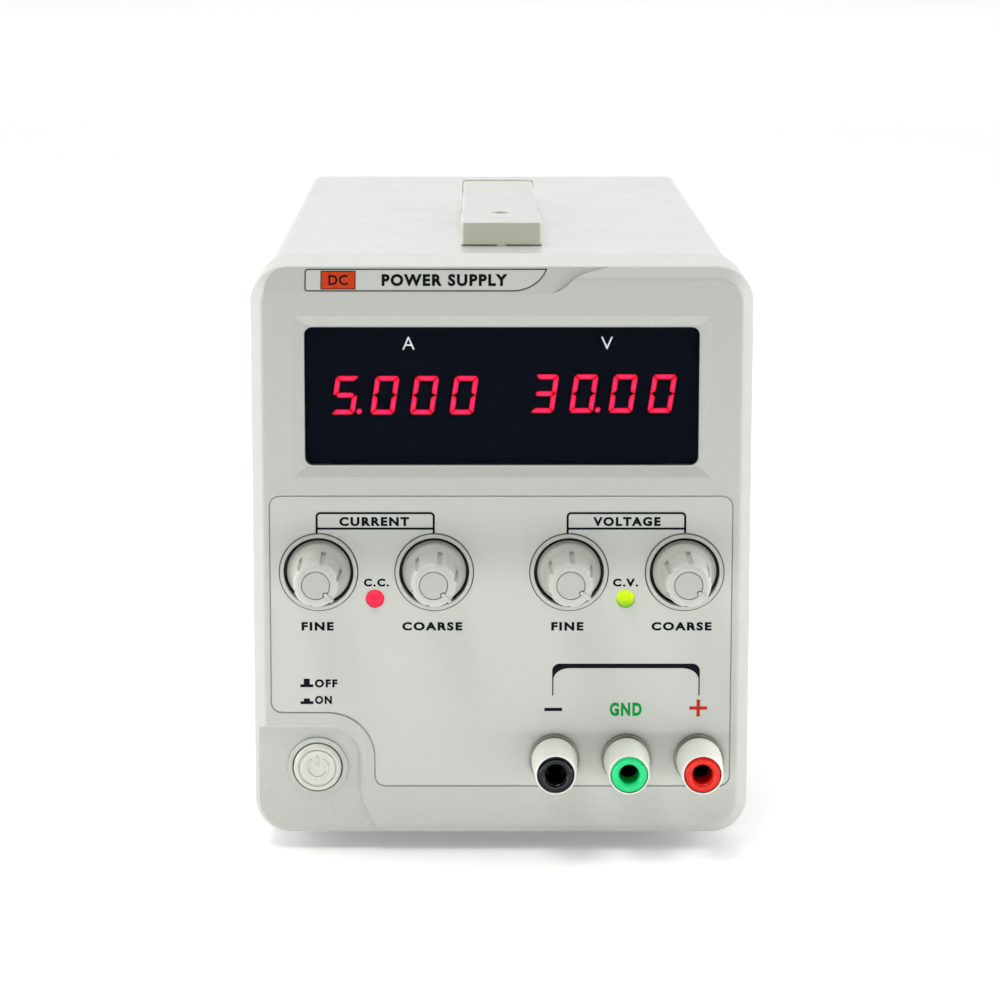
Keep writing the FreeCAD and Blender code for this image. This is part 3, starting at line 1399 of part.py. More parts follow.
def power_button():
    """A round cap with a ring groove and the usual open-ring-and-bar mark, raised."""
    body = new_body("power_button")
    turned(body, [
        ("0", "12"), ("button_radius", "12"), ("button_radius", "button_front + 0.7"),
        ("button_radius - 0.7", "button_front"), ("4.95", "button_front"), ("4.95", "button_front + 0.35"),
        ("4.6", "button_front + 0.35"), ("4.6", "button_front"), ("0", "button_front"),
    ])
    mark = sketch_on(body, "XZ_Plane", "0.35 - button_front")
    draw_power_ring(mark)
    draw_box(mark, "-0.35", "0.6", "0.35", "3.1")
    pad(body, mark, "0.5")
    put(body, "button_side", "bezel_front", "button_height")


def draw_power_ring(sketch):
    """A ring 0.7 wide that is open at its top."""
    upward = Vector(0, 0, 1)
    start, end = math.radians(125), math.radians(415)
    outer = Part.ArcOfCircle(Part.Circle(Vector(), upward, 3.0), start, end)
    inner = Part.ArcOfCircle(Part.Circle(Vector(), upward, 2.3), start, end)
    for piece in (outer, inner, Part.LineSegment(outer.StartPoint, inner.StartPoint),
                  Part.LineSegment(outer.EndPoint, inner.EndPoint)):
        index = sketch.addGeometry(piece, False)
        sketch.addConstraint(Sketcher.Constraint("Block", index))


def power_switch():
    x, z = "button_side", "button_height"
    case = block(f"{x} - 7", at_depth("switch_depth + 1"), f"{z} - 6", "14", "20", "12")
    flange = block(f"{x} - switch_hole - 2.4", at_depth("switch_depth"), f"{z} - 4",
                   "2 * switch_hole + 4.8", "1.2", "8")
    bore = block(f"{x} - 2", at_depth("switch_depth - 1"), f"{z} - 2", "4", "12", "4")
    tags = [
        block(f"{x} + {dx} - 0.4", at_depth("switch_depth + 20.5"), f"{z} + {dz} - 1", "0.8", "4", "2")
        for dx in ("(-4)", "4") for dz in ("(-3.5)", "0", "3.5")
    ]
    named(cut(fused(case, flange, *tags), bore), "power_switch")


def power_plunger():
    plunger = block("button_side - 1.6", at_depth("12"), "button_height - 1.6", "3.2", "12", "3.2")
    named(plunger, "power_plunger")


# ---- Output binding posts -------------------------------------------------------------------

def post_cap(name, side):
    """The insulated nut: it tapers to its rim and runs on the stud's thread."""
    body = new_body(f"{name}_post_cap")
    bore = "stud_radius + running_gap"
    seat = "insert_radius + running_gap"
    turned(body, [
        (bore, "-cap_base"), ("post_radius - 0.4", "-cap_base"), ("post_radius", "-cap_base - 0.4"),
        ("post_radius", "-cap_base - 3"), ("post_tip_radius", "0.6 - post_front"),
        ("post_tip_radius - 0.35", "0.1 - post_front"), (seat, "0.1 - post_front"),
        (seat, "insert_length + 0.1 - post_front"), (bore, "insert_length + 0.1 - post_front"),
    ])
    put(body, side, "bezel_front", "post_height")


def post_insert(name, side):
    """The coloured ring in the cap's mouth."""
    body = new_body(f"{name}_post_insert")
    turned(body, [
        ("insert_bore", "insert_length - post_front"), ("insert_radius", "insert_length - post_front"),
        ("insert_radius", "-post_front"), ("insert_bore", "-post_front"),
    ])
    rim = value("-post_front")
    dress(body, "Fillet", "1", lambda edge: near(edge, y=rim))
    put(body, side, "bezel_front", "post_height")


def post_studs():
    studs = []
    for side in POSTS.values():
        mouth = at_depth("insert_length + 0.4 - post_front")
        length = "post_front - insert_length - 0.4 + 18"
        stud = rod(side, mouth, "post_height", "stud_radius", length)
        bore = rod(side, f"{mouth} - 1", "post_height", "socket_radius", "socket_length + 1")
        wire_hole = rod(f"({side}) - 5", at_depth("-2.9"), "post_height", "0.9", "10", "x")
        studs.append(cut(stud, bore, wire_hole))
    named(fused(*studs), "post_studs")


def post_washers():
    """Plated clamp washers that the caps screw down on."""
    washers = []
    for side in POSTS.values():
        disc = rod(side, at_depth("-cap_base + 0.3"), "post_height", "washer_radius", "0.9")
        hole = rod(side, at_depth("-3"), "post_height", "stud_radius + running_gap", "6")
        washers.append(cut(disc, hole))
    named(fused(*washers), "post_washers")


def post_bushes():
    """Insulating bushes that carry the studs through the panel."""
    bushes = []
    for side in POSTS.values():
        neck = rod(side, at_depth("1.2 - cap_base"), "post_height", "bush_radius",
                   "cap_base + face_thickness - 1")
        collar = rod(side, at_depth("face_thickness"), "post_height", "bush_radius + 2", "4")
        nut = rod(side, at_depth("face_thickness + 4"), "post_height", "5", "2.6")
        hole = rod(side, at_depth("-3"), "post_height", "stud_radius + 0.02", "16")
        bushes.append(cut(fused(neck, collar, nut), hole))
    named(fused(*bushes), "post_bushes")


# ---- Carrying handle ------------------------------------------------------------------------

HANDLE_LEFT = "handle_middle - handle_width / 2"
HANDLE_SCREW_SEATS = ("2", "0.9")
STRAP_BOTTOM = "cover_top + handle_height - 0.3 - strap_thickness"


def handle_cap_block(start):
    body = block(HANDLE_LEFT, start, "cover_top", "handle_width", "handle_cap_length", "handle_height")
    top = value("cover_top + handle_height")
    lengthways, upright = runs_along("y"), runs_along("z")
    return rounded(body, "1", lambda edge: upright(edge) or lengthways(edge) and near(edge, z=top))


def handle_screw_point(index):
    """Where a cap's screw head sits; the rear one is sunk deeper, under the strap's end."""
    return "handle_middle", at_depth(HANDLE_SCREWS[index]), f"cover_top + {HANDLE_SCREW_SEATS[index]}"


def handle_caps():
    """Two end caps with screw wells; the front one stands on a dark gap, the rear one holds the strap."""
    caps = []
    for index, start in enumerate(("handle_start", "handle_start + handle_length - handle_cap_length")):
        x, screw, seat = handle_screw_point(index)
        well = rod(x, screw, seat, "2.6", "10", "z")
        hole = rod(x, screw, "cover_top - 1", "1.7", "10", "z")
        caps.append(cut(handle_cap_block(at_depth(start)), well, hole))
    beside = "(handle_width - handle_web) / 2"
    grooves = [
        block(left, at_depth("handle_start - 1"), "cover_top - 1",
              beside, "1 + handle_groove", "1 + handle_groove / 2")
        for left in (HANDLE_LEFT, f"{HANDLE_LEFT} + {beside} + handle_web")
    ]
    seat = block(f"{HANDLE_LEFT} - 2", at_depth("handle_start + handle_length - handle_cap_length - 5"),
                 f"{STRAP_BOTTOM} - case_gap", "handle_width + 4", "handle_cap_length + 5 - handle_rim", "20")
    back = value(at_depth("handle_start + handle_length - handle_rim"))
    upright = runs_along("z")
    seat = rounded(seat, "handle_end_radius + 2", lambda edge: upright(edge) and near(edge, y=back))
    named(fused(cut(caps[0], *grooves), cut(caps[1], seat)), "handle_caps")


def handle_strap():
    """The flexible grip; it lies low, its rear end in the rear cap, and bows up when it is lifted."""
    start = at_depth("handle_start + handle_cap_length + case_gap")
    end = at_depth("handle_start + handle_length - handle_rim - case_gap")
    grip = block(f"{HANDLE_LEFT} + 0.4", start, STRAP_BOTTOM, "handle_width - 0.8",
                 f"{end} - ({start})", "strap_thickness")
    back, top = value(end), value(f"{STRAP_BOTTOM} + strap_thickness")
    upright = runs_along("z")
    ended = rounded(grip, "handle_end_radius", lambda edge: upright(edge) and near(edge, y=back))
    named(rounded(ended, "0.8", lambda edge: near(edge, z=top)), "handle_strap")


def handle_screws():
    screws = [pan_screw(handle_screw_point(index), "z", 1, "1.3", "7") for index in range(2)]
    named(fused(*screws), "handle_screws")


# ---- Build, check and write -----------------------------------------------------------------

def build():
    for piece in (
        front_bezel, display_window, control_label, nameplate, top_cover, chassis_base, rear_panel, feet,
        cover_screws, fan_frame, fan_rotor, fan_guard, fan_screws, inlet_housing, inlet_pins, fuse_drawer,
        fuse_cartridge, selector_housing, selector_slider, transformer_core, transformer_winding,
        transformer_clamp, main_board, filter_capacitors, heatsink, pass_transistors, bridge_rectifier,
        display_board, digit_modules, control_board, potentiometers, power_button, power_switch,
        power_plunger, post_studs, post_washers, post_bushes, handle_caps, handle_strap, handle_screws,
    ):
        piece()
    for name, (side, pointer) in KNOBS.items():
        for piece in (knob, knob_cap, knob_shaft):
            piece(name, side, pointer)
    for name, side in LAMPS.items():
        lamp(name, side)
    for name, side in POSTS.items():
        post_cap(name, side)
        post_insert(name, side)


def check():
    doc.recompute()
    for thing in doc.Objects:
        if "Invalid" in thing.State or "Error" in thing.State:
            raise RuntimeError(f"{thing.Label} did not build: {thing.State}")
    for part in subparts:
        if part.Shape.isNull() or not part.Shape.isValid() or not part.Shape.Solids:
            raise RuntimeError(f"{part.Label} has no valid solid")


build()
check()
os.makedirs("parts", exist_ok=True)
for part in subparts:
    part.Shape.exportStep(f"parts/{part.Label}.step")
print(len(subparts), "sub-parts written")
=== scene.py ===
import json
import math

import bmesh
import bpy
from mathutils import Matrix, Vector


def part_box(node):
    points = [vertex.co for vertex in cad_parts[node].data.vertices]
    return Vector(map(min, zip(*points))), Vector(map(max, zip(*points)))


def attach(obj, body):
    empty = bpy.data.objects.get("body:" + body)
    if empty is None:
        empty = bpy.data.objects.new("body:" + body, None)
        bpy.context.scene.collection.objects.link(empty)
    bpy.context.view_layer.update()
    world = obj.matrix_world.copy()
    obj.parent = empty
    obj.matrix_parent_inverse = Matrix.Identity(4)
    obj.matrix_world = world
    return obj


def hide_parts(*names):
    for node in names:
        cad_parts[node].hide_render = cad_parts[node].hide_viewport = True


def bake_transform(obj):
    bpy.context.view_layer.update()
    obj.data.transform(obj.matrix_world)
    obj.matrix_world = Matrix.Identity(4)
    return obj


# The bench power supply's looks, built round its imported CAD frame.  Metres; sizes marked MM are
# millimetres times MM.  X is right, Y runs from the front to the back and Z is up.

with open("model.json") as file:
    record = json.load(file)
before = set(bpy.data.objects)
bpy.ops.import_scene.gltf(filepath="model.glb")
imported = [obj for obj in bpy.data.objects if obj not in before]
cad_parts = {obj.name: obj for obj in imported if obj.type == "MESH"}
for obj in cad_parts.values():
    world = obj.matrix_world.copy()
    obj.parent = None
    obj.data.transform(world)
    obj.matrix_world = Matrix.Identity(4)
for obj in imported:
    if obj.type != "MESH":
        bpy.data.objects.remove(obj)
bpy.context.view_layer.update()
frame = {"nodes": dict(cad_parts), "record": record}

MM = 0.001
NODES = frame["nodes"]
SCENE = bpy.context.scene
BODY = "case"

FACE_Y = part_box("front_bezel")[0].y
LABEL_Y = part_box("control_label")[0].y
WINDOW_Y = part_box("display_window")[0].y
DIGIT_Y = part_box("digit_modules")[0].y
REAR_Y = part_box("rear_panel")[1].y
INK = 0.02 * MM


# ---- Materials --------------------------------------------------------------------------------

def srgb(red, green, blue):
    """A linear RGBA colour from three 0 to 255 display levels."""
    def linear(level):
        level /= 255
        return level / 12.92 if level <= 0.04045 else ((level + 0.055) / 1.055) ** 2.4
    return (linear(red), linear(green), linear(blue), 1)


class Finish:
    """A material: one Principled shader, and short calls that add detail to its surface."""

    def __init__(self, name, colour, roughness, **settings):
        self.material = bpy.data.materials.new(name)
        self.material.use_nodes = True
        self.tree = self.material.node_tree
        self.shader = self.tree.nodes["Principled BSDF"]
        self.colour = colour
        self.set("Base Color", colour)
        self.set("Roughness", roughness)
        for socket, level in settings.items():
            self.set(socket.replace("_", " "), level)
        self.place = self.add("TexCoord").outputs["Object"]
        self.normal = None

    def set(self, socket, level):
        self.shader.inputs[socket].default_value = level

    def add(self, kind, **settings):
        node = self.tree.nodes.new("ShaderNode" + kind)
        for name, setting in settings.items():
            setattr(node, name, setting)
        return node

    def join(self, output, socket):
        self.tree.links.new(output, socket)

    def axis(self, vector, name):
        """One coordinate of a vector: X, Y or Z."""
        parts = self.add("SeparateXYZ")
        self.join(vector, parts.inputs["Vector"])
        return parts.outputs[name]

    def facing(self, name):
        """How much the surface faces along an axis, from -1 to 1."""
        return self.axis(self.add("NewGeometry").outputs["Normal"], name)

    def product(self, first, second):
        multiply = self.add("Math", operation="MULTIPLY")
        self.join(first, multiply.inputs[0])
        self.join(second, multiply.inputs[1])
        return multiply.outputs["Value"]

    def noise(self, size, detail=2, stretch=(1, 1, 1)):
        """Soft noise whose grains are about size millimetres across."""
        mapping = self.add("Mapping")
        mapping.inputs["Scale"].default_value = [1 / axis for axis in stretch]
        self.join(self.place, mapping.inputs["Vector"])
        texture = self.add("TexNoise")
        texture.inputs["Scale"].default_value = 1 / (size * MM)
        texture.inputs["Detail"].default_value = detail
        self.join(mapping.outputs["Vector"], texture.inputs["Vector"])
        return texture.outputs["Fac"]

    def spread(self, value, low, high, start=0.3, end=0.7):
        """Remap a value that runs from start to end on to low to high."""
        remap = self.add("MapRange")
        for socket, level in (("From Min", start), ("From Max", end), ("To Min", low), ("To Max", high)):
            remap.inputs[socket].default_value = level
        self.join(value, remap.inputs["Value"])
        return remap.outputs["Result"]

    def shade(self, value, first, second, socket):
        """Give a socket a colour that runs from the first to the second as a value rises."""
        mix = self.add("Mix", data_type="RGBA")
        start, end = [entry for entry in mix.inputs if entry.type == "RGBA"]
        start.default_value = first
        end.default_value = second
        target = self.shader.inputs[socket]
        if target.is_linked:
            self.join(target.links[0].from_socket, start)
        self.join(value, mix.inputs["Factor"])
        self.join(next(entry for entry in mix.outputs if entry.type == "RGBA"), target)

    def tint(self, value, other):
        """Shade what the base colour is so far to another one as a value rises."""
        self.shade(value, self.colour, other, "Base Color")

    def polish(self, value, low, high):
        """Let the roughness wander between two levels with a noise value."""
        self.join(self.spread(value, low, high), self.shader.inputs["Roughness"])

    def soften(self, radius):
        """Catch light on the hard edges as if they had a small radius, in millimetres."""
        bevel = self.add("Bevel", samples=4)
        bevel.inputs["Radius"].default_value = radius * MM
        self.normal = bevel.outputs["Normal"]
        self.join(self.normal, self.shader.inputs["Normal"])

    def relief(self, height, depth):
        """Raise the surface by a value, up to depth millimetres."""
        bump = self.add("Bump")
        bump.inputs["Distance"].default_value = depth * MM
        bump.inputs["Strength"].default_value = 1
        self.join(height, bump.inputs["Height"])
        if self.normal is not None:
            self.join(self.normal, bump.inputs["Normal"])
        self.normal = bump.outputs["Normal"]
        self.join(self.normal, self.shader.inputs["Normal"])


def darker(colour, share):
    """A share of a colour's light; a share over 1 makes it lighter."""
    return tuple(level * share for level in colour[:3]) + (1,)


def moulded(name, colour, roughness, edge=0.25, grain=0.35, depth=0.012, **settings):
    """Injection-moulded plastic: fine grain, a faint cloudiness and soft edges."""
    finish = Finish(name, colour, roughness, **settings)
    finish.soften(edge)
    finish.tint(finish.spread(finish.noise(38, 3), 0, 1), darker(colour, 0.955))
    finish.polish(finish.noise(6, 3), roughness - 0.06, roughness + 0.06)
    finish.relief(finish.noise(grain, 2), depth)
    return finish.material


def eroded_plastic(name, colour):
    """The bezel's plastic: spark-eroded grain on what faces the front, smoother elsewhere.

    The openings in its lower part are painted almost black a few millimetres behind the face, as painted
    shade in the wells and gaps.
    """
    finish = Finish(name, colour, 0.46)
    painted_well_shade = finish.spread(finish.axis(finish.place, "Y"), 0, 1, FACE_Y + 2.4 * MM, FACE_Y + 3.6 * MM)
    for axis, middle, reach in (("X", 0, 60.5 * MM), ("Z", 55 * MM, 45 * MM)):
        inside = finish.add("Math", operation="COMPARE")
        inside.inputs[1].default_value = middle
        inside.inputs[2].default_value = reach
        finish.join(finish.axis(finish.place, axis), inside.inputs[0])
        painted_well_shade = finish.product(painted_well_shade, inside.outputs["Value"])
    finish.soften(0.35)
    front = finish.spread(finish.facing("Y"), 1, 0.15, -0.99, -0.9)
    grain = finish.product(finish.noise(0.42, 3), front)
    finish.tint(finish.spread(finish.noise(0.5, 2), 0, 1), darker(colour, 0.9))
    finish.tint(finish.spread(finish.noise(45, 3), 0, 0.5), darker(colour, 0.94))
    # painted shade: what lies deep in the wells and gaps behind the face turns almost black
    finish.tint(painted_well_shade, darker(colour, 0.04))
    finish.polish(finish.noise(5, 3), 0.4, 0.52)
    finish.relief(grain, 0.035)
    return finish.material


def painted(name, colour, roughness):
    """Semi-gloss paint on sheet steel, with a slight orange peel."""
    finish = Finish(name, colour, roughness, Coat_Weight=0.25, Coat_Roughness=0.12)
    finish.soften(0.3)
    finish.tint(finish.spread(finish.noise(60, 3), 0, 1), darker(colour, 0.982))
    finish.polish(finish.noise(12, 2), roughness - 0.04, roughness + 0.04)
    finish.relief(finish.noise(1.3, 2), 0.006)
    return finish.material


def film(name, colour):
    """Satin printed film."""
    finish = Finish(name, colour, 0.42)
    finish.tint(finish.spread(finish.noise(0.6, 2), 0, 1), darker(colour, 0.965))
    finish.tint(finish.spread(finish.noise(50, 2), 0, 0.6), darker(colour, 0.96))
    finish.polish(finish.noise(4, 3), 0.37, 0.47)
    finish.relief(finish.noise(0.3, 2), 0.006)
    return finish.material


def smoked(name, colour, alpha):
    """Smoked acrylic: dark, polished and a little see-through."""
    finish = Finish(name, colour, 0.07, Alpha=alpha, Specular_IOR_Level=0.04)
    finish.tint(finish.spread(finish.noise(30, 2), 0, 1), darker(colour, 0.8))
    finish.polish(finish.noise(9, 3), 0.05, 0.1)
    return finish.material


def metal(name, colour, roughness, lines=(1, 1, 1), depth=0.004, size=0.5):
    """Plated or bare metal; lines stretches its fine scratches along an axis."""
    finish = Finish(name, colour, roughness, Metallic=1)
    finish.soften(0.15)
    finish.tint(finish.spread(finish.noise(9, 4), 0, 1), darker(colour, 0.82))
    finish.polish(finish.noise(size, 4, lines), roughness - 0.08, roughness + 0.1)
    finish.relief(finish.noise(size, 3, lines), depth)
    return finish.material


def board(name, colour):
    """Glass-fibre board under solder resist."""
    finish = Finish(name, colour, 0.35, Coat_Weight=0.3, Coat_Roughness=0.2)
    finish.tint(finish.spread(finish.noise(1.6, 2, (6, 6, 1)), 0, 1, 0.5, 0.56), darker(colour, 1.6))
    finish.relief(finish.noise(0.5, 2), 0.01)
    return finish.material


def glowing(name, core, rim, strength):
    """A lit segment: its core is paler than its rim, from the mesh's own glow attribute."""
    finish = Finish(name, darker(rim, 0.2), 0.5, Emission_Strength=strength)
    glow = finish.add("Attribute", attribute_name="glow").outputs["Fac"]
    ripple = finish.spread(finish.noise(0.7, 2), 0.75, 1.1)
    finish.shade(finish.product(glow, ripple), rim, core, "Emission Color")
    return finish.material


def lit_lens(name, colour, edge, glow, strength):
    """A lit indicator lens, with a painted highlight towards the top of its dome and painted shade below.
    """
    finish = Finish(name, colour, 0.22, Emission_Strength=strength, Specular_IOR_Level=0.2)
    # painted highlight and shade: the glow runs from the edge colour below to the paler glow colour on top,
    # by which way the dome faces
    upper = finish.spread(finish.facing("Z"), 0, 1, -0.6, 0.35)
    speckle = finish.spread(finish.noise(0.8, 2), 0.85, 1.1)
    finish.shade(finish.product(upper, speckle), edge, glow, "Emission Color")
    return finish.material


def ink(name, colour, roughness=0.6):
    """Screen-printed ink, a little uneven."""
    finish = Finish(name, colour, roughness, Specular_IOR_Level=0.06)
    finish.tint(finish.spread(finish.noise(0.9, 3), 0, 1), darker(colour, 0.75))
    finish.relief(finish.noise(0.2, 2), 0.004)
    return finish.material


def knob_finish(name, colour):
    """The knobs' satin plastic, with painted shade on the part of the skirt that turns inside the well."""
    finish = Finish(name, colour, 0.36)
    finish.soften(0.16)
    finish.tint(finish.spread(finish.noise(30, 3), 0, 1), darker(colour, 0.95))
    depth = finish.axis(finish.place, "Y")
    # painted shade: the skirt's side, deeper than the face, turns almost black as if shadowed in the well
    finish.tint(finish.spread(depth, 0, 1, FACE_Y + 1.35 * MM, FACE_Y + 1.8 * MM), darker(colour, 0.05))
    finish.polish(finish.noise(5, 3), 0.3, 0.42)
    finish.relief(finish.noise(0.3, 2), 0.008)
    return finish.material


def glossy(name, colour):
    """Polished insulating plastic: a deep gloss with faint moulding flow in it."""
    finish = Finish(name, colour, 0.16, Specular_IOR_Level=0.15,
                    Coat_Weight=0.35, Coat_Roughness=0.03)
    finish.tint(finish.spread(finish.noise(3, 3), 0, 1), darker(colour, 0.88))
    finish.polish(finish.noise(2, 3), 0.1, 0.18)
    finish.relief(finish.noise(2.5, 2), 0.004)
    return finish.material


def handle_finish(name):
    """The handle's soft plastic, its colour painted by which way it faces: greenish on its ends and sides,
    a darker neutral grey on top, as painted shading.
    """
    colour = srgb(225, 228, 208)
    finish = Finish(name, colour, 0.42)
    finish.soften(0.5)
    # painted shading by facing: what faces up turns a darker neutral grey, the rest keeps the greenish
    # colour
    finish.tint(finish.spread(finish.facing("Z"), 0, 1, 0.3, 0.9), srgb(190, 190, 187))
    finish.polish(finish.noise(6, 3), 0.36, 0.48)
    finish.relief(finish.noise(0.4, 2), 0.012)
    return finish.material


def slot_materials():
    """Each of the record's material slots, finished."""
    steel = srgb(200, 200, 198)
    return {
        "bezel_plastic": eroded_plastic("bezel_plastic", srgb(194, 198, 191)),
        "label_film": film("label_film", srgb(197, 201, 194)),
        "plate_film": film("plate_film", srgb(200, 205, 197)),
        "smoked_window": smoked("smoked_window", srgb(9, 15, 28), 0.4),
        "case_paint": painted("case_paint", srgb(190, 190, 188), 0.36),
        "zinc_steel": metal("zinc_steel", srgb(176, 178, 176), 0.38,
                            lines=(1, 12, 1), depth=0.006, size=0.8),
        "foot_rubber": moulded("foot_rubber", srgb(32, 32, 33), 0.72, edge=0.4, grain=0.6, depth=0.03),
        "screw_steel": metal("screw_steel", steel, 0.25),
        "fan_plastic": moulded("fan_plastic", srgb(28, 28, 30), 0.5, edge=0.2, grain=0.4, depth=0.015),
        "guard_wire": metal("guard_wire", srgb(205, 205, 208), 0.2),
        "inlet_plastic": moulded("inlet_plastic", srgb(24, 24, 25), 0.42),
        "contact_metal": metal("contact_metal", srgb(205, 196, 160), 0.25),
        "fuse_glass": moulded("fuse_glass", srgb(206, 214, 212), 0.12, edge=0.1, grain=3, depth=0.004),
        "selector_red": moulded("selector_red", srgb(190, 40, 28), 0.35, edge=0.2),
        "core_steel": metal("core_steel", srgb(70, 70, 74), 0.55, lines=(12, 1, 12), depth=0.05, size=0.6),
        "winding_tape": moulded("winding_tape", srgb(196, 146, 44), 0.3, edge=0.5, grain=5, depth=0.12),
        "board_green": board("board_green", srgb(24, 92, 52)),
        "capacitor_sleeve": moulded("capacitor_sleeve", srgb(22, 32, 62), 0.3, edge=0.4),
        "sink_aluminium": metal("sink_aluminium", srgb(196, 197, 198), 0.35, lines=(1, 14, 1), depth=0.01),
        "package_black": moulded("package_black", srgb(26, 26, 27), 0.5, edge=0.2),
        "digit_module": moulded("digit_module", srgb(13, 13, 15), 0.45, edge=0.1),
        "pot_steel": metal("pot_steel", srgb(190, 190, 186), 0.35),
        "knob_plastic": knob_finish("knob_plastic", srgb(192, 196, 188)),
        "knob_cap_plastic": moulded("knob_cap_plastic", srgb(183, 187, 180), 0.42, edge=0.12, grain=0.3),
        "lamp_red": lit_lens("lamp_red", srgb(150, 10, 32), srgb(214, 18, 56), srgb(255, 52, 92), 0.75),
        "lamp_green": lit_lens("lamp_green", srgb(88, 120, 14), srgb(96, 168, 20), srgb(232, 255, 24), 0.8),
        "button_plastic": moulded("button_plastic", srgb(211, 213, 204), 0.34,
                                  edge=0.3, grain=0.3, depth=0.008),
        "post_plastic": moulded("post_plastic", srgb(230, 231, 222), 0.36,
                                edge=0.12, grain=0.3, depth=0.004),
        "insert_black": glossy("insert_black", srgb(4, 10, 18)),
        "insert_green": glossy("insert_green", srgb(26, 222, 134)),
        "insert_red": glossy("insert_red", srgb(226, 30, 18)),
        "post_metal": metal("post_metal", srgb(44, 43, 40), 0.5, depth=0.001, size=4),
        "handle_plastic": handle_finish("handle_plastic"),
        "strap_plastic": handle_finish("strap_plastic"),
    }


def finish_nodes(materials):
    """Give every CAD node the finish of the slot that the record names for it."""
    for part in frame["record"]["subparts"]:
        node = NODES[part["node"]]
        node.data.materials.clear()
        node.data.materials.append(materials[part["material_slot"]])
    # the washers under the post caps are duller than the other metal of the posts
    dull = metal("washer_steel", srgb(150, 148, 140), 0.5, depth=0.001, size=4)
    NODES["post_washers"].data.materials[0] = dull


# ---- Flat prints ------------------------------------------------------------------------------

def add_piece(name, mesh, material, smooth=False):
    """Put a mesh in the scene as a named piece."""
    piece = bpy.data.objects.new(name, mesh)
    SCENE.collection.objects.link(piece)
    mesh.materials.clear()
    mesh.materials.append(material)
    for polygon in mesh.polygons:
        polygon.use_smooth = smooth
    return piece


def show(name, mesh, material, body=BODY):
    """Put a flat print in the scene as a piece that rides on a body."""
    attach(add_piece(name, mesh, material), body)


def mesh_of(form, name):
    """Turn a finished bmesh into a mesh."""
    mesh = bpy.data.meshes.new(name)
    form.to_mesh(mesh)
    form.free()
    return mesh


def raised(outlines, y):
    """A mesh of flat closed outlines in millimetres of X and Z, standing forward of a plane."""
    form = bmesh.new()
    for outline in outlines:
        back = [form.verts.new((x * MM, y, z * MM)) for x, z in outline]
        front = [form.verts.new((x * MM, y - INK, z * MM)) for x, z in outline]
        form.faces.new(front)
        for index, corner in enumerate(back):
            following = (index + 1) % len(back)
            form.faces.new((corner, back[following], front[following], front[index]))
    bmesh.ops.recalc_face_normals(form, faces=form.faces)
    return mesh_of(form, "print")


def arc(x, z, radius, start, end, steps=10):
    """Points on an arc, its angles in degrees anticlockwise from the right."""
    turns = [math.radians(start + (end - start) * step / steps) for step in range(steps + 1)]
    return [(x + radius * math.cos(turn), z + radius * math.sin(turn)) for turn in turns]


def ribbon(points, width):
    """The closed outline of a line of even width through points."""
    left, right = [], []
    for index, point in enumerate(points):
        before = points[max(index - 1, 0)]
        after = points[min(index + 1, len(points) - 1)]
        into = Vector(point) - Vector(before) if index else Vector(after) - Vector(point)
        out = Vector(after) - Vector(point) if index < len(points) - 1 else into
        into.normalize()
        out.normalize()
        along = (into + out).normalized()
        across = Vector((-along.y, along.x))
        reach = width / 2 / max(along.dot(into), 0.3)
        left.append(tuple(Vector(point) + across * reach))
        right.append(tuple(Vector(point) - across * reach))
    return left + right[::-1]


def ring_outline(x, z, outer, inner, start, end, steps):
    """A closed outline round a stretch of a ring."""
    return arc(x, z, outer, start, end, steps) + arc(x, z, inner, end, start, steps)


def box_outline(left, bottom, right, top):
    return [(left, bottom), (right, bottom), (right, top), (left, top)]


def lettering(text, left, right, bottom, top, weight=0.0, spacing=1.0):
    """Text as a flat mesh in X and Z, fitted to a box in millimetres."""
    curve = bpy.data.curves.new(text, "FONT")
    curve.body = text
    curve.offset = weight
    curve.space_character = spacing
    curve.resolution_u = 4
    holder = bpy.data.objects.new(text, curve)
    mesh = bpy.data.meshes.new_from_object(holder)
    bpy.data.objects.remove(holder)
    xs = [vertex.co.x for vertex in mesh.vertices]
    ys = [vertex.co.y for vertex in mesh.vertices]
    across = (right - left) / (max(xs) - min(xs))
    up = (top - bottom) / (max(ys) - min(ys))
    for vertex in mesh.vertices:
        x, y, _ = vertex.co
        vertex.co = (left + (x - min(xs)) * across, bottom + (y - min(ys)) * up, 0)
    return mesh


def printed(flat_meshes, place):
    """One mesh of several flat ones, each raised a little and moved by place(x, z, lift)."""
    form = bmesh.new()
    for mesh in flat_meshes:
        form.from_mesh(mesh)
        bpy.data.meshes.remove(mesh)
    bmesh.ops.dissolve_limit(form, angle_limit=0.01, verts=form.verts, edges=form.edges)
    raised_faces = bmesh.ops.extrude_face_region(form, geom=form.faces[:])
    front = {item for item in raised_faces["geom"] if isinstance(item, bmesh.types.BMVert)}
    for vertex in form.verts:
        x, z, _ = vertex.co
        vertex.co = place(x, z, INK if vertex in front else 0)
    bmesh.ops.recalc_face_normals(form, faces=form.faces)
    return mesh_of(form, "lettering")


def on_plane(y, side=1):
    """A placing rule for prints on an upright plane; side is -1 on a plane that faces the back."""
    return lambda x, z, lift: (x * side * MM, y - side * lift, z * MM)


# Each word printed on the control label, with its left, right, bottom and top in millimetres.
NAVY_WORDS = [
    ("CURRENT", -41.6, -23.7, 86.55, 88.95), ("VOLTAGE", 23.4, 40.7, 86.55, 88.95),
    ("FINE", -51.5, -43.2, 59.1, 61.35), ("COARSE", -25.6, -10.1, 59.1, 61.35),
    ("FINE", 12.8, 21.1, 59.1, 61.35), ("COARSE", 38.6, 54.1, 59.1, 61.35),
    ("C.C.", -35.4, -28.9, 70.7, 72.8), ("C.V.", 28.6, 35.1, 70.7, 72.8),
    ("OFF", -48.2, -42.35, 44.0, 46.2), ("ON", -48.2, -43.8, 39.6, 41.8),
]


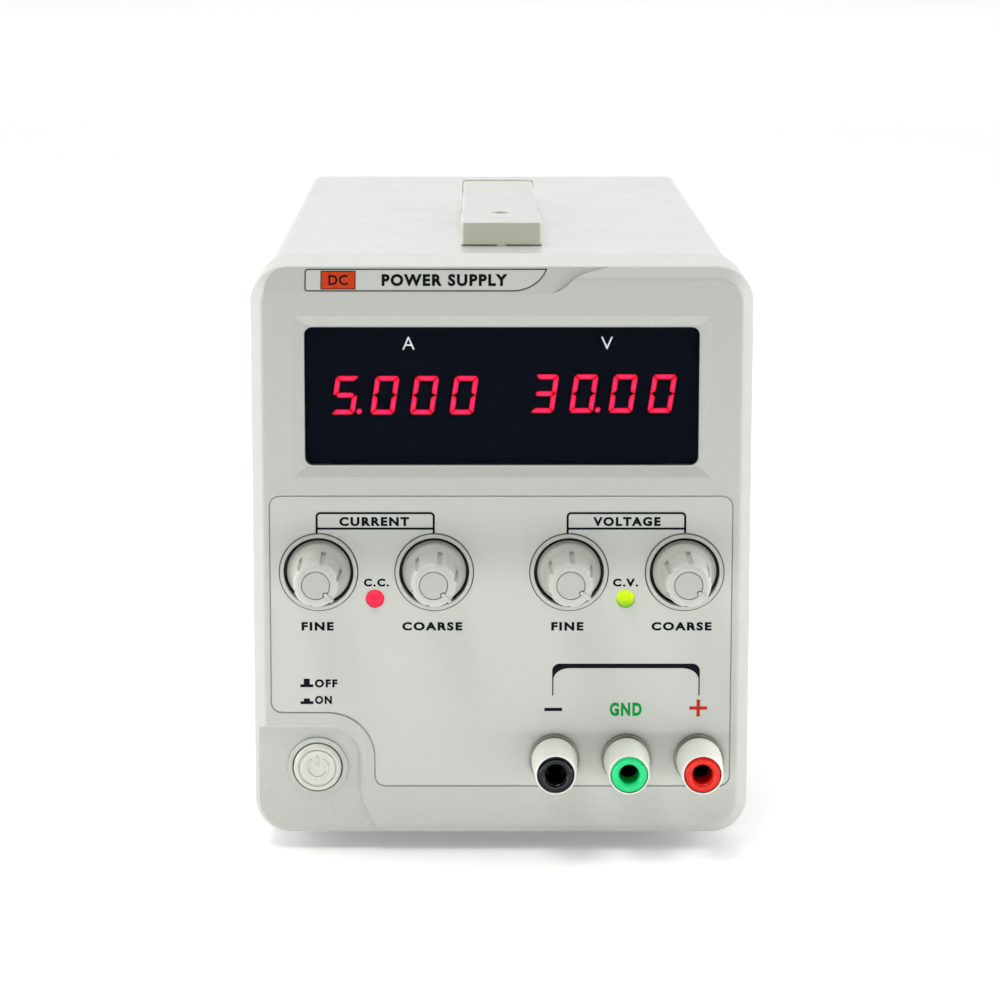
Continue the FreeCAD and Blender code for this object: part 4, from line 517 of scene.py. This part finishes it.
def panel_print():
    """The control panel's printed words, brackets and symbols, and a painted shadow line round each knob's
    well.
    """
    navy = ink("navy_ink", srgb(13, 19, 27))
    words = [lettering(*word, weight=0.05, spacing=1.25) for word in NAVY_WORDS]
    show("panel_words", printed(words, on_plane(LABEL_Y)), navy)

    minus = box_outline(11.1, 37.75, 15.7, 38.6)
    marks = [*word_frame(-47.4, -17.4), *word_frame(16.9, 47.0), output_bracket(), minus,
             button_sign(44.1, 46.35), button_sign(39.6, 41.1)]
    show("panel_marks", raised(marks, LABEL_Y), navy)

    # painted shadow: a thin dark ring round each knob's well stands for the shade in the gap between the
    # label and the ring
    ring_shadows = []
    for name in ("current_fine", "current_coarse", "voltage_fine", "voltage_coarse"):
        low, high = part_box(name + "_knob")
        x, z = (low.x + high.x) / 2 / MM, (low.z + high.z) / 2 / MM
        ring_shadows.append(ring_outline(x, z, 10.24, 10.06, 90, 449, 72))
    show("panel_ring_shadows", raised(ring_shadows, LABEL_Y), ink("ring_shadow_paint", srgb(70, 76, 70)))

    green = ink("green_ink", srgb(20, 160, 66))
    ground = [lettering("GND", 28.0, 36.3, 36.4, 40.05, weight=0.05, spacing=1.2)]
    show("panel_ground_word", printed(ground, on_plane(LABEL_Y)), green)
    red = ink("red_ink", srgb(206, 46, 34))
    show("panel_plus", raised([plus_outline(50.9, 38.55, 2.3, 2.25, 0.45)], LABEL_Y), red)


def word_frame(left, right):
    """The frame printed over a pair of knobs round its word: a bracket, and a line across it."""
    top, inner, foot, corner, line = 89.95, 85.9, 84.7, 0.9, 0.56
    bracket = [(left, foot), *arc(left + corner, top - corner, corner, 180, 90, 6),
               *arc(right - corner, top - corner, corner, 90, 0, 6), (right, foot)]
    return [ribbon(bracket, line), ribbon([(left, inner), (right, inner)], line)]


def button_sign(foot, head):
    """The small sign of a button that stands on its plate, as tall as it stands out."""
    left, right, stem_left, stem_right = -51.95, -48.6, -51.05, -49.5
    plate = foot + 0.75
    return [(left, foot), (right, foot), (right, plate), (stem_right, plate),
            (stem_right, head), (stem_left, head), (stem_left, plate), (left, plate)]


def plus_outline(x, z, wide, tall, half):
    """A plus sign's outline, from its centre, the reach of its arms and half their thickness."""
    return [(x - half, z - tall), (x + half, z - tall), (x + half, z - half), (x + wide, z - half),
            (x + wide, z + half), (x + half, z + half), (x + half, z + tall), (x - half, z + tall),
            (x - half, z + half), (x - wide, z + half), (x - wide, z - half), (x - half, z - half)]


def output_bracket():
    """The thick bar over the output posts, with tapering round ends and thin legs."""
    left, right, top, bar, foot = 13.1, 51.2, 50.35, 1.2, 41.9
    leg, outer, sweep, drop = 0.32, 1.9, 4.3, 3.0
    outline = [(left, foot)]
    outline += arc(left + outer, top - outer, outer, 180, 90, 8)
    outline += arc(right - outer, top - outer, outer, 90, 0, 8)
    outline += [(right, foot), (right - leg, foot)]
    inner = []
    for degrees in range(0, 91, 9):
        turn = math.radians(degrees)
        inner.append((leg + sweep * (1 - math.cos(turn)), top - bar - drop * (1 - math.sin(turn))))
    outline += [(right - across, z) for across, z in inner]
    outline += [(left + across, z) for across, z in inner[::-1]]
    outline.append((left + leg, foot))
    return outline


def plate_rim_shade(left, right):
    """The outline of a painted shade line round the nameplate's rim, standing for the shade in the gap
    round the plate, from the middle of its foot and back to it.
    """
    tall, slant, corner, sweep, inset = 5.9, 2.75, 0.9, 9.2, 0.16
    lean = math.atan2(slant, tall)
    reach = sweep / math.tan((math.pi / 2 + lean) / 2)
    tip = right - inset * (math.tan(lean) + 1 / math.cos(lean))
    middle = (left + right) / 2
    return [(middle, inset), *arc(left + corner, corner, corner - inset, 270, 180, 5),
            *arc(left + corner, tall - corner, corner - inset, 180, 90, 5), (tip, tall - inset),
            *arc(right - slant - reach, sweep, sweep - inset, -math.degrees(lean), -90, 12),
            (middle + 0.05, inset)]


# The nameplate's seat leans back by so many millimetres over its height.
PLATE_DEEP = 2.9
PLATE_TALL = 6.6


def nameplate_print():
    """A plain generic name on the tilted plate: a badge that says DC, then POWER SUPPLY."""
    low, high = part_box("nameplate")
    lean = math.atan2(PLATE_DEEP, PLATE_TALL)
    normal = Vector((0, -math.cos(lean), math.sin(lean)))
    rise = Vector((0, math.sin(lean), math.cos(lean)))
    deep, tall = high.y - low.y, high.z - low.z
    # the strip's own thickness, from how deep and tall its box is when it leans
    thickness = (deep * rise.z - tall * rise.y) / (rise.z ** 2 - rise.y ** 2)
    foot = Vector((0, low.y, low.z + thickness * rise.y))

    def place(x, up, lift):
        return Vector((x * MM, 0, 0)) + foot + rise * (up * MM) + normal * lift

    def second_layer(x, up, lift):
        return place(x, up, lift * 2)

    def flat(outline):
        form = bmesh.new()
        form.faces.new([form.verts.new((x, up, 0)) for x, up in outline])
        return mesh_of(form, "badge")

    orange = ink("badge_ink", srgb(214, 70, 32))
    badge = box_outline(-45.9, 0.6, -37.2, 5.3)
    show("plate_badge", printed([flat(badge)], place), orange)
    dark = ink("plate_ink_and_rim_shade", srgb(14, 20, 26))
    # the badge's rim stops just short of where it began, so that its line has two ends
    rim = badge + [(-45.9, 0.65)]
    # the dark line round the plate's rim is painted shade of the gap round the plate; the line round the
    # badge is print
    lines = [flat(ribbon(plate_rim_shade(low.x / MM, high.x / MM), 0.2)), flat(ribbon(rim, 0.22))]
    show("plate_rim_shade_and_badge_line", printed(lines, second_layer), dark)
    words = [lettering("POWER SUPPLY", -30.5, 1.4, 1.35, 4.55, weight=0.045, spacing=1.2),
             lettering("DC", -44.0, -39.1, 1.6, 4.3, weight=0.02, spacing=1.1)]
    show("plate_words", printed(words, second_layer), dark)


def rear_print():
    """Generic words at the mains inlet and the voltage selector, read from behind."""
    dark = ink("rear_ink", srgb(40, 46, 52))
    words = [lettering("AC INPUT", 29.0, 43.0, 55.0, 57.4, weight=0.015),
             lettering("AC SELECT", -38.0, -22.0, 40.0, 42.2, weight=0.015)]
    show("rear_words", printed(words, on_plane(REAR_Y, -1)), dark)


# ---- Display ----------------------------------------------------------------------------------

DIGIT_WIDE = 6.1
DIGIT_TALL = 9.95
DIGIT_STROKE = 1.25
DIGIT_SLANT = math.tan(math.radians(8.5))
LIT_Y = DIGIT_Y - 0.1 * MM
CORE_RISE = 0.06 * MM
CORE_DRAW = 0.62
SEGMENTS = {"5": "afgcd", "0": "abcdef", "3": "abgcd"}


def segment_outlines():
    """The seven segments of an upright digit, from its lower left corner."""
    wide, tall, stroke, gap, chamfer = DIGIT_WIDE, DIGIT_TALL, DIGIT_STROKE, 0.12, 0.55
    middle, half, nick = tall / 2, stroke / 2, chamfer / 2
    top = [(chamfer + gap, tall), (wide - chamfer - gap, tall), (wide - nick - gap, tall - nick),
           (wide - stroke - gap, tall - stroke), (stroke + gap, tall - stroke), (nick + gap, tall - nick)]
    upper_left = [(0, middle + gap), (0, tall - chamfer - gap), (nick, tall - nick - gap * 1.6),
                  (stroke, tall - stroke - gap * 1.4), (stroke, middle + half + gap),
                  (half * 0.6, middle + gap)]
    start, end = stroke + gap / 2, wide - stroke - gap / 2
    centre = [(half + gap, middle), (start, middle + half), (end, middle + half),
              (wide - half - gap, middle), (end, middle - half), (start, middle - half)]

    def turned_over(outline):
        return [(wide - x, tall - z) for x, z in outline]

    def mirrored(outline):
        return [(wide - x, z) for x, z in outline]

    return {
        "a": top, "d": turned_over(top), "f": upper_left, "b": mirrored(upper_left),
        "c": turned_over(upper_left), "e": mirrored(turned_over(upper_left)), "g": centre,
    }


def add_glow_patch(form, glow, outline):
    """A lit patch: a core that stands a little proud inside its outline."""
    centre = sum((Vector(point) for point in outline), Vector((0, 0))) / len(outline)
    rim = [form.verts.new((x * MM, LIT_Y, z * MM)) for x, z in outline]
    core = []
    for point in outline:
        x, z = Vector(point).lerp(centre, CORE_DRAW)
        core.append(form.verts.new((x * MM, LIT_Y - CORE_RISE, z * MM)))
    for vertex in core:
        vertex[glow] = 1
    form.faces.new(core)
    for index, corner in enumerate(rim):
        following = (index + 1) % len(rim)
        form.faces.new((corner, rim[following], core[following], core[index]))


def readout(name, text, centres, middle):
    """One lit number round the height middle, its digits at centres and leaning to the right."""
    form = bmesh.new()
    glow = form.verts.layers.float.new("glow")
    outlines = segment_outlines()

    def leaning(outline, centre):
        left, foot = centre - DIGIT_WIDE / 2, middle - DIGIT_TALL / 2
        return [(left + x + (z - DIGIT_TALL / 2) * DIGIT_SLANT, foot + z) for x, z in outline]

    places = iter(centres)
    centre = None
    for letter in text:
        if letter == ".":
            dot = arc(DIGIT_WIDE + 1.15, 0.78, 0.7, 0, 337.5, 15)
            add_glow_patch(form, glow, leaning(dot, centre))
            continue
        centre = next(places)
        for segment in SEGMENTS[letter]:
            add_glow_patch(form, glow, leaning(outlines[segment], centre))
    bmesh.ops.recalc_face_normals(form, faces=form.faces)
    lit = glowing(name + "_light", srgb(252, 50, 118), srgb(255, 10, 34), 2.9)
    show(name, mesh_of(form, name), lit)


def display():
    """The two numbers, the black mask round them and the window's two printed letters."""
    readout("current_digits", "5.000", (-40.0, -29.85, -19.75, -9.65), 120.0)
    readout("voltage_digits", "30.00", (10.9, 20.95, 31.0, 41.0), 120.4)
    white = ink("window_ink", srgb(240, 243, 244))
    letters = [lettering("A", -25.3, -22.2, 132.1, 135.4, weight=-0.008),
               lettering("V", 25.2, 28.2, 132.1, 135.4, weight=-0.008)]
    show("window_letters", printed(letters, on_plane(WINDOW_Y)), white)
    low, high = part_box("display_window")
    sheet = box_outline(low.x / MM, low.z / MM, high.x / MM, high.z / MM)
    mask = moulded("mask_film", srgb(20, 26, 38), 0.8, edge=0.1, Specular_IOR_Level=0.03)
    show("display_mask", raised([sheet], DIGIT_Y - 0.02 * MM), mask)


def power_mark():
    """The power mark on the button, a little paler than the button."""
    low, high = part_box("power_button")
    across, middle = (low.x + high.x) / 2 / MM, (low.z + high.z) / 2 / MM
    ring = ring_outline(across, middle, 2.95, 2.35, 125, 415, 36)
    bar = box_outline(across - 0.32, middle + 0.65, across + 0.32, middle + 3.05)
    pale = ink("mark_ink", srgb(224, 226, 218), 0.35)
    show("power_mark", raised([ring, bar], low.y), pale, "power_button")


# ---- Carrying strap ---------------------------------------------------------------------------

STRAP_CORNER = 2.6 * MM
STRAP_EDGE = 0.8 * MM
STRAP_STEPS = 30
SHARP = math.radians(35)


def eased(radius, distance):
    """How far a rounded corner has drawn in at a distance from its end."""
    if distance >= radius:
        return 0
    return radius - math.sqrt(radius ** 2 - (radius - distance) ** 2)


def strap_section(form, low, high, y, corner):
    """The strap's outline at one depth: square below, with rounded edges on top."""
    distance = min(y - low.y, high.y - y)
    half = (high.x - low.x) / 2 - eased(corner, distance)
    top = high.z - eased(STRAP_EDGE, distance)
    inner = half - STRAP_EDGE
    outline = [(half, low.z), *arc(inner, top - STRAP_EDGE, STRAP_EDGE, 0, 90, 6),
               *arc(-inner, top - STRAP_EDGE, STRAP_EDGE, 90, 180, 6), (-half, low.z)]
    middle = (low.x + high.x) / 2
    return [form.verts.new((middle + x, y, z)) for x, z in outline]


def strap():
    """The soft strap, in two halves that meet midway between the handle's end caps."""
    low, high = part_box("handle_strap")
    first, last = (corner.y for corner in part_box("handle_caps"))
    cap_length = low.y - first
    peak = (first + last) / 2
    soft = handle_finish("strap_skin")
    for name, end, held, corner in (("strap_front_half", low.y, low.y, STRAP_EDGE),
                                    ("strap_rear_half", high.y, last - cap_length, STRAP_CORNER)):
        inward = math.copysign(corner, peak - end)
        depths = [end + inward * (1 - math.cos(math.radians(turn))) for turn in range(0, 91, 10)]
        for step in range(STRAP_STEPS + 1):
            depth = held + (peak - held) * step / STRAP_STEPS
            if abs(depth - end) > corner + MM:
                depths.append(depth)
        form = bmesh.new()
        rings = [strap_section(form, low, high, depth, corner) for depth in depths]
        for ring, following in zip(rings, rings[1:]):
            for side, near in enumerate(ring):
                next_side = (side + 1) % len(ring)
                form.faces.new((near, ring[next_side], following[next_side], following[side]))
        form.faces.new(rings[0])
        bmesh.ops.recalc_face_normals(form, faces=form.faces)
        for edge in form.edges:
            edge.smooth = edge.calc_face_angle(0) < SHARP
        half = add_piece(name, mesh_of(form, name), soft, smooth=True)
        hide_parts("handle_strap")
        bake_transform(half)


# ---- Floor, light and camera ------------------------------------------------------------------

FLOOR_REACH = 6


def area_light(name, place, aim, wide, tall, power):
    """A rectangular lamp of some watts that the camera doesn't see."""
    lamp = bpy.data.lights.new(name, "AREA")
    lamp.shape = "RECTANGLE"
    lamp.size = wide
    lamp.size_y = tall
    lamp.energy = power
    holder = bpy.data.objects.new(name, lamp)
    holder.location = place
    holder.rotation_euler = (Vector(aim) - Vector(place)).to_track_quat("-Z", "Y").to_euler()
    holder.visible_camera = False
    SCENE.collection.objects.link(holder)


def floor():
    """A plain pale floor."""
    sheet = bpy.data.meshes.new("floor")
    corners = [(x, y, 0) for x, y in box_outline(-FLOOR_REACH, -FLOOR_REACH, FLOOR_REACH, FLOOR_REACH)]
    sheet.from_pydata(corners, [], [(0, 1, 2, 3)])
    ground = bpy.data.objects.new("floor", sheet)
    SCENE.collection.objects.link(ground)
    finish = Finish("floor_paper", srgb(246, 246, 246), 0.8, Specular_IOR_Level=0.1,
                    Emission_Color=(1, 1, 1, 1), Emission_Strength=0.16)
    finish.tint(finish.spread(finish.noise(400, 2), 0, 1), srgb(244, 244, 244))
    sheet.materials.append(finish.material)


def surround():
    """A white room that gives no light from straight in front, and more towards the sides and back."""
    world = bpy.data.worlds.new("surround")
    SCENE.world = world
    world.use_nodes = True
    nodes = world.node_tree.nodes
    links = world.node_tree.links
    background = nodes["Background"]
    background.inputs["Color"].default_value = (1, 1, 1, 1)
    direction = nodes.new("ShaderNodeTexCoord")
    axes = nodes.new("ShaderNodeSeparateXYZ")
    fade = nodes.new("ShaderNodeMapRange")
    for socket, level in (("From Min", -0.75), ("From Max", 0), ("To Min", 0), ("To Max", 1.02)):
        fade.inputs[socket].default_value = level
    links.new(direction.outputs["Generated"], axes.inputs["Vector"])
    links.new(axes.outputs["Y"], fade.inputs["Value"])
    # what the camera sees past the floor's edge stays white, however dim the front of the room is
    seen = nodes.new("ShaderNodeLightPath")
    strength = nodes.new("ShaderNodeMath")
    strength.operation = "MAXIMUM"
    links.new(fade.outputs["Result"], strength.inputs[0])
    links.new(seen.outputs["Is Camera Ray"], strength.inputs[1])
    links.new(strength.outputs["Value"], background.inputs["Strength"])


def lamps():
    """Soft light from above and both sides, with a key, two weak fills and a lamp over the far floor."""
    front = FACE_Y
    area_light("top_light", (-0.1, 0.1, 1.3), (0, 0, 0.1), 1.3, 1.3, 2.5)
    for side in (-1, 1):
        place = (side * 1.1, front + 0.12, 0.35)
        area_light(f"side_light_{side + 1}", place, (0, front, 0.1), 0.5, 0.9, 6.5)
    area_light("key_light", (-0.3, front - 0.42, 1.15), (0, front, 0.12), 0.4, 0.3, 3.8)
    area_light("fill_light", (0.8, front - 0.9, 0.7), (0, front, 0.08), 0.25, 0.25, 0.4)
    area_light("low_light", (0, front - 0.14, 0.012), (0, front, 0.06), 0.7, 0.02, 0.16)
    area_light("backdrop_light", (0, 4, 2.5), (0, 4, 0), 4, 4, 22)


def camera():
    """The camera, a little above the supply and to the left of its middle."""
    lens = bpy.data.cameras.new("camera")
    lens.sensor_width = 36
    lens.lens = 111.83
    lens.shift_x = 0.0290
    lens.shift_y = -0.1248
    holder = bpy.data.objects.new("camera", lens)
    aside, away, height = -0.00786, 0.77925, 0.2499
    tilt = 80.95
    holder.location = (aside, FACE_Y - away, height)
    holder.rotation_euler = (math.radians(tilt), 0, 0)
    SCENE.collection.objects.link(holder)
    SCENE.camera = holder
    SCENE.view_settings.view_transform = "Standard"


camera()
floor()
surround()
lamps()
finish_nodes(slot_materials())
panel_print()
nameplate_print()
rear_print()
display()
power_mark()
strap()
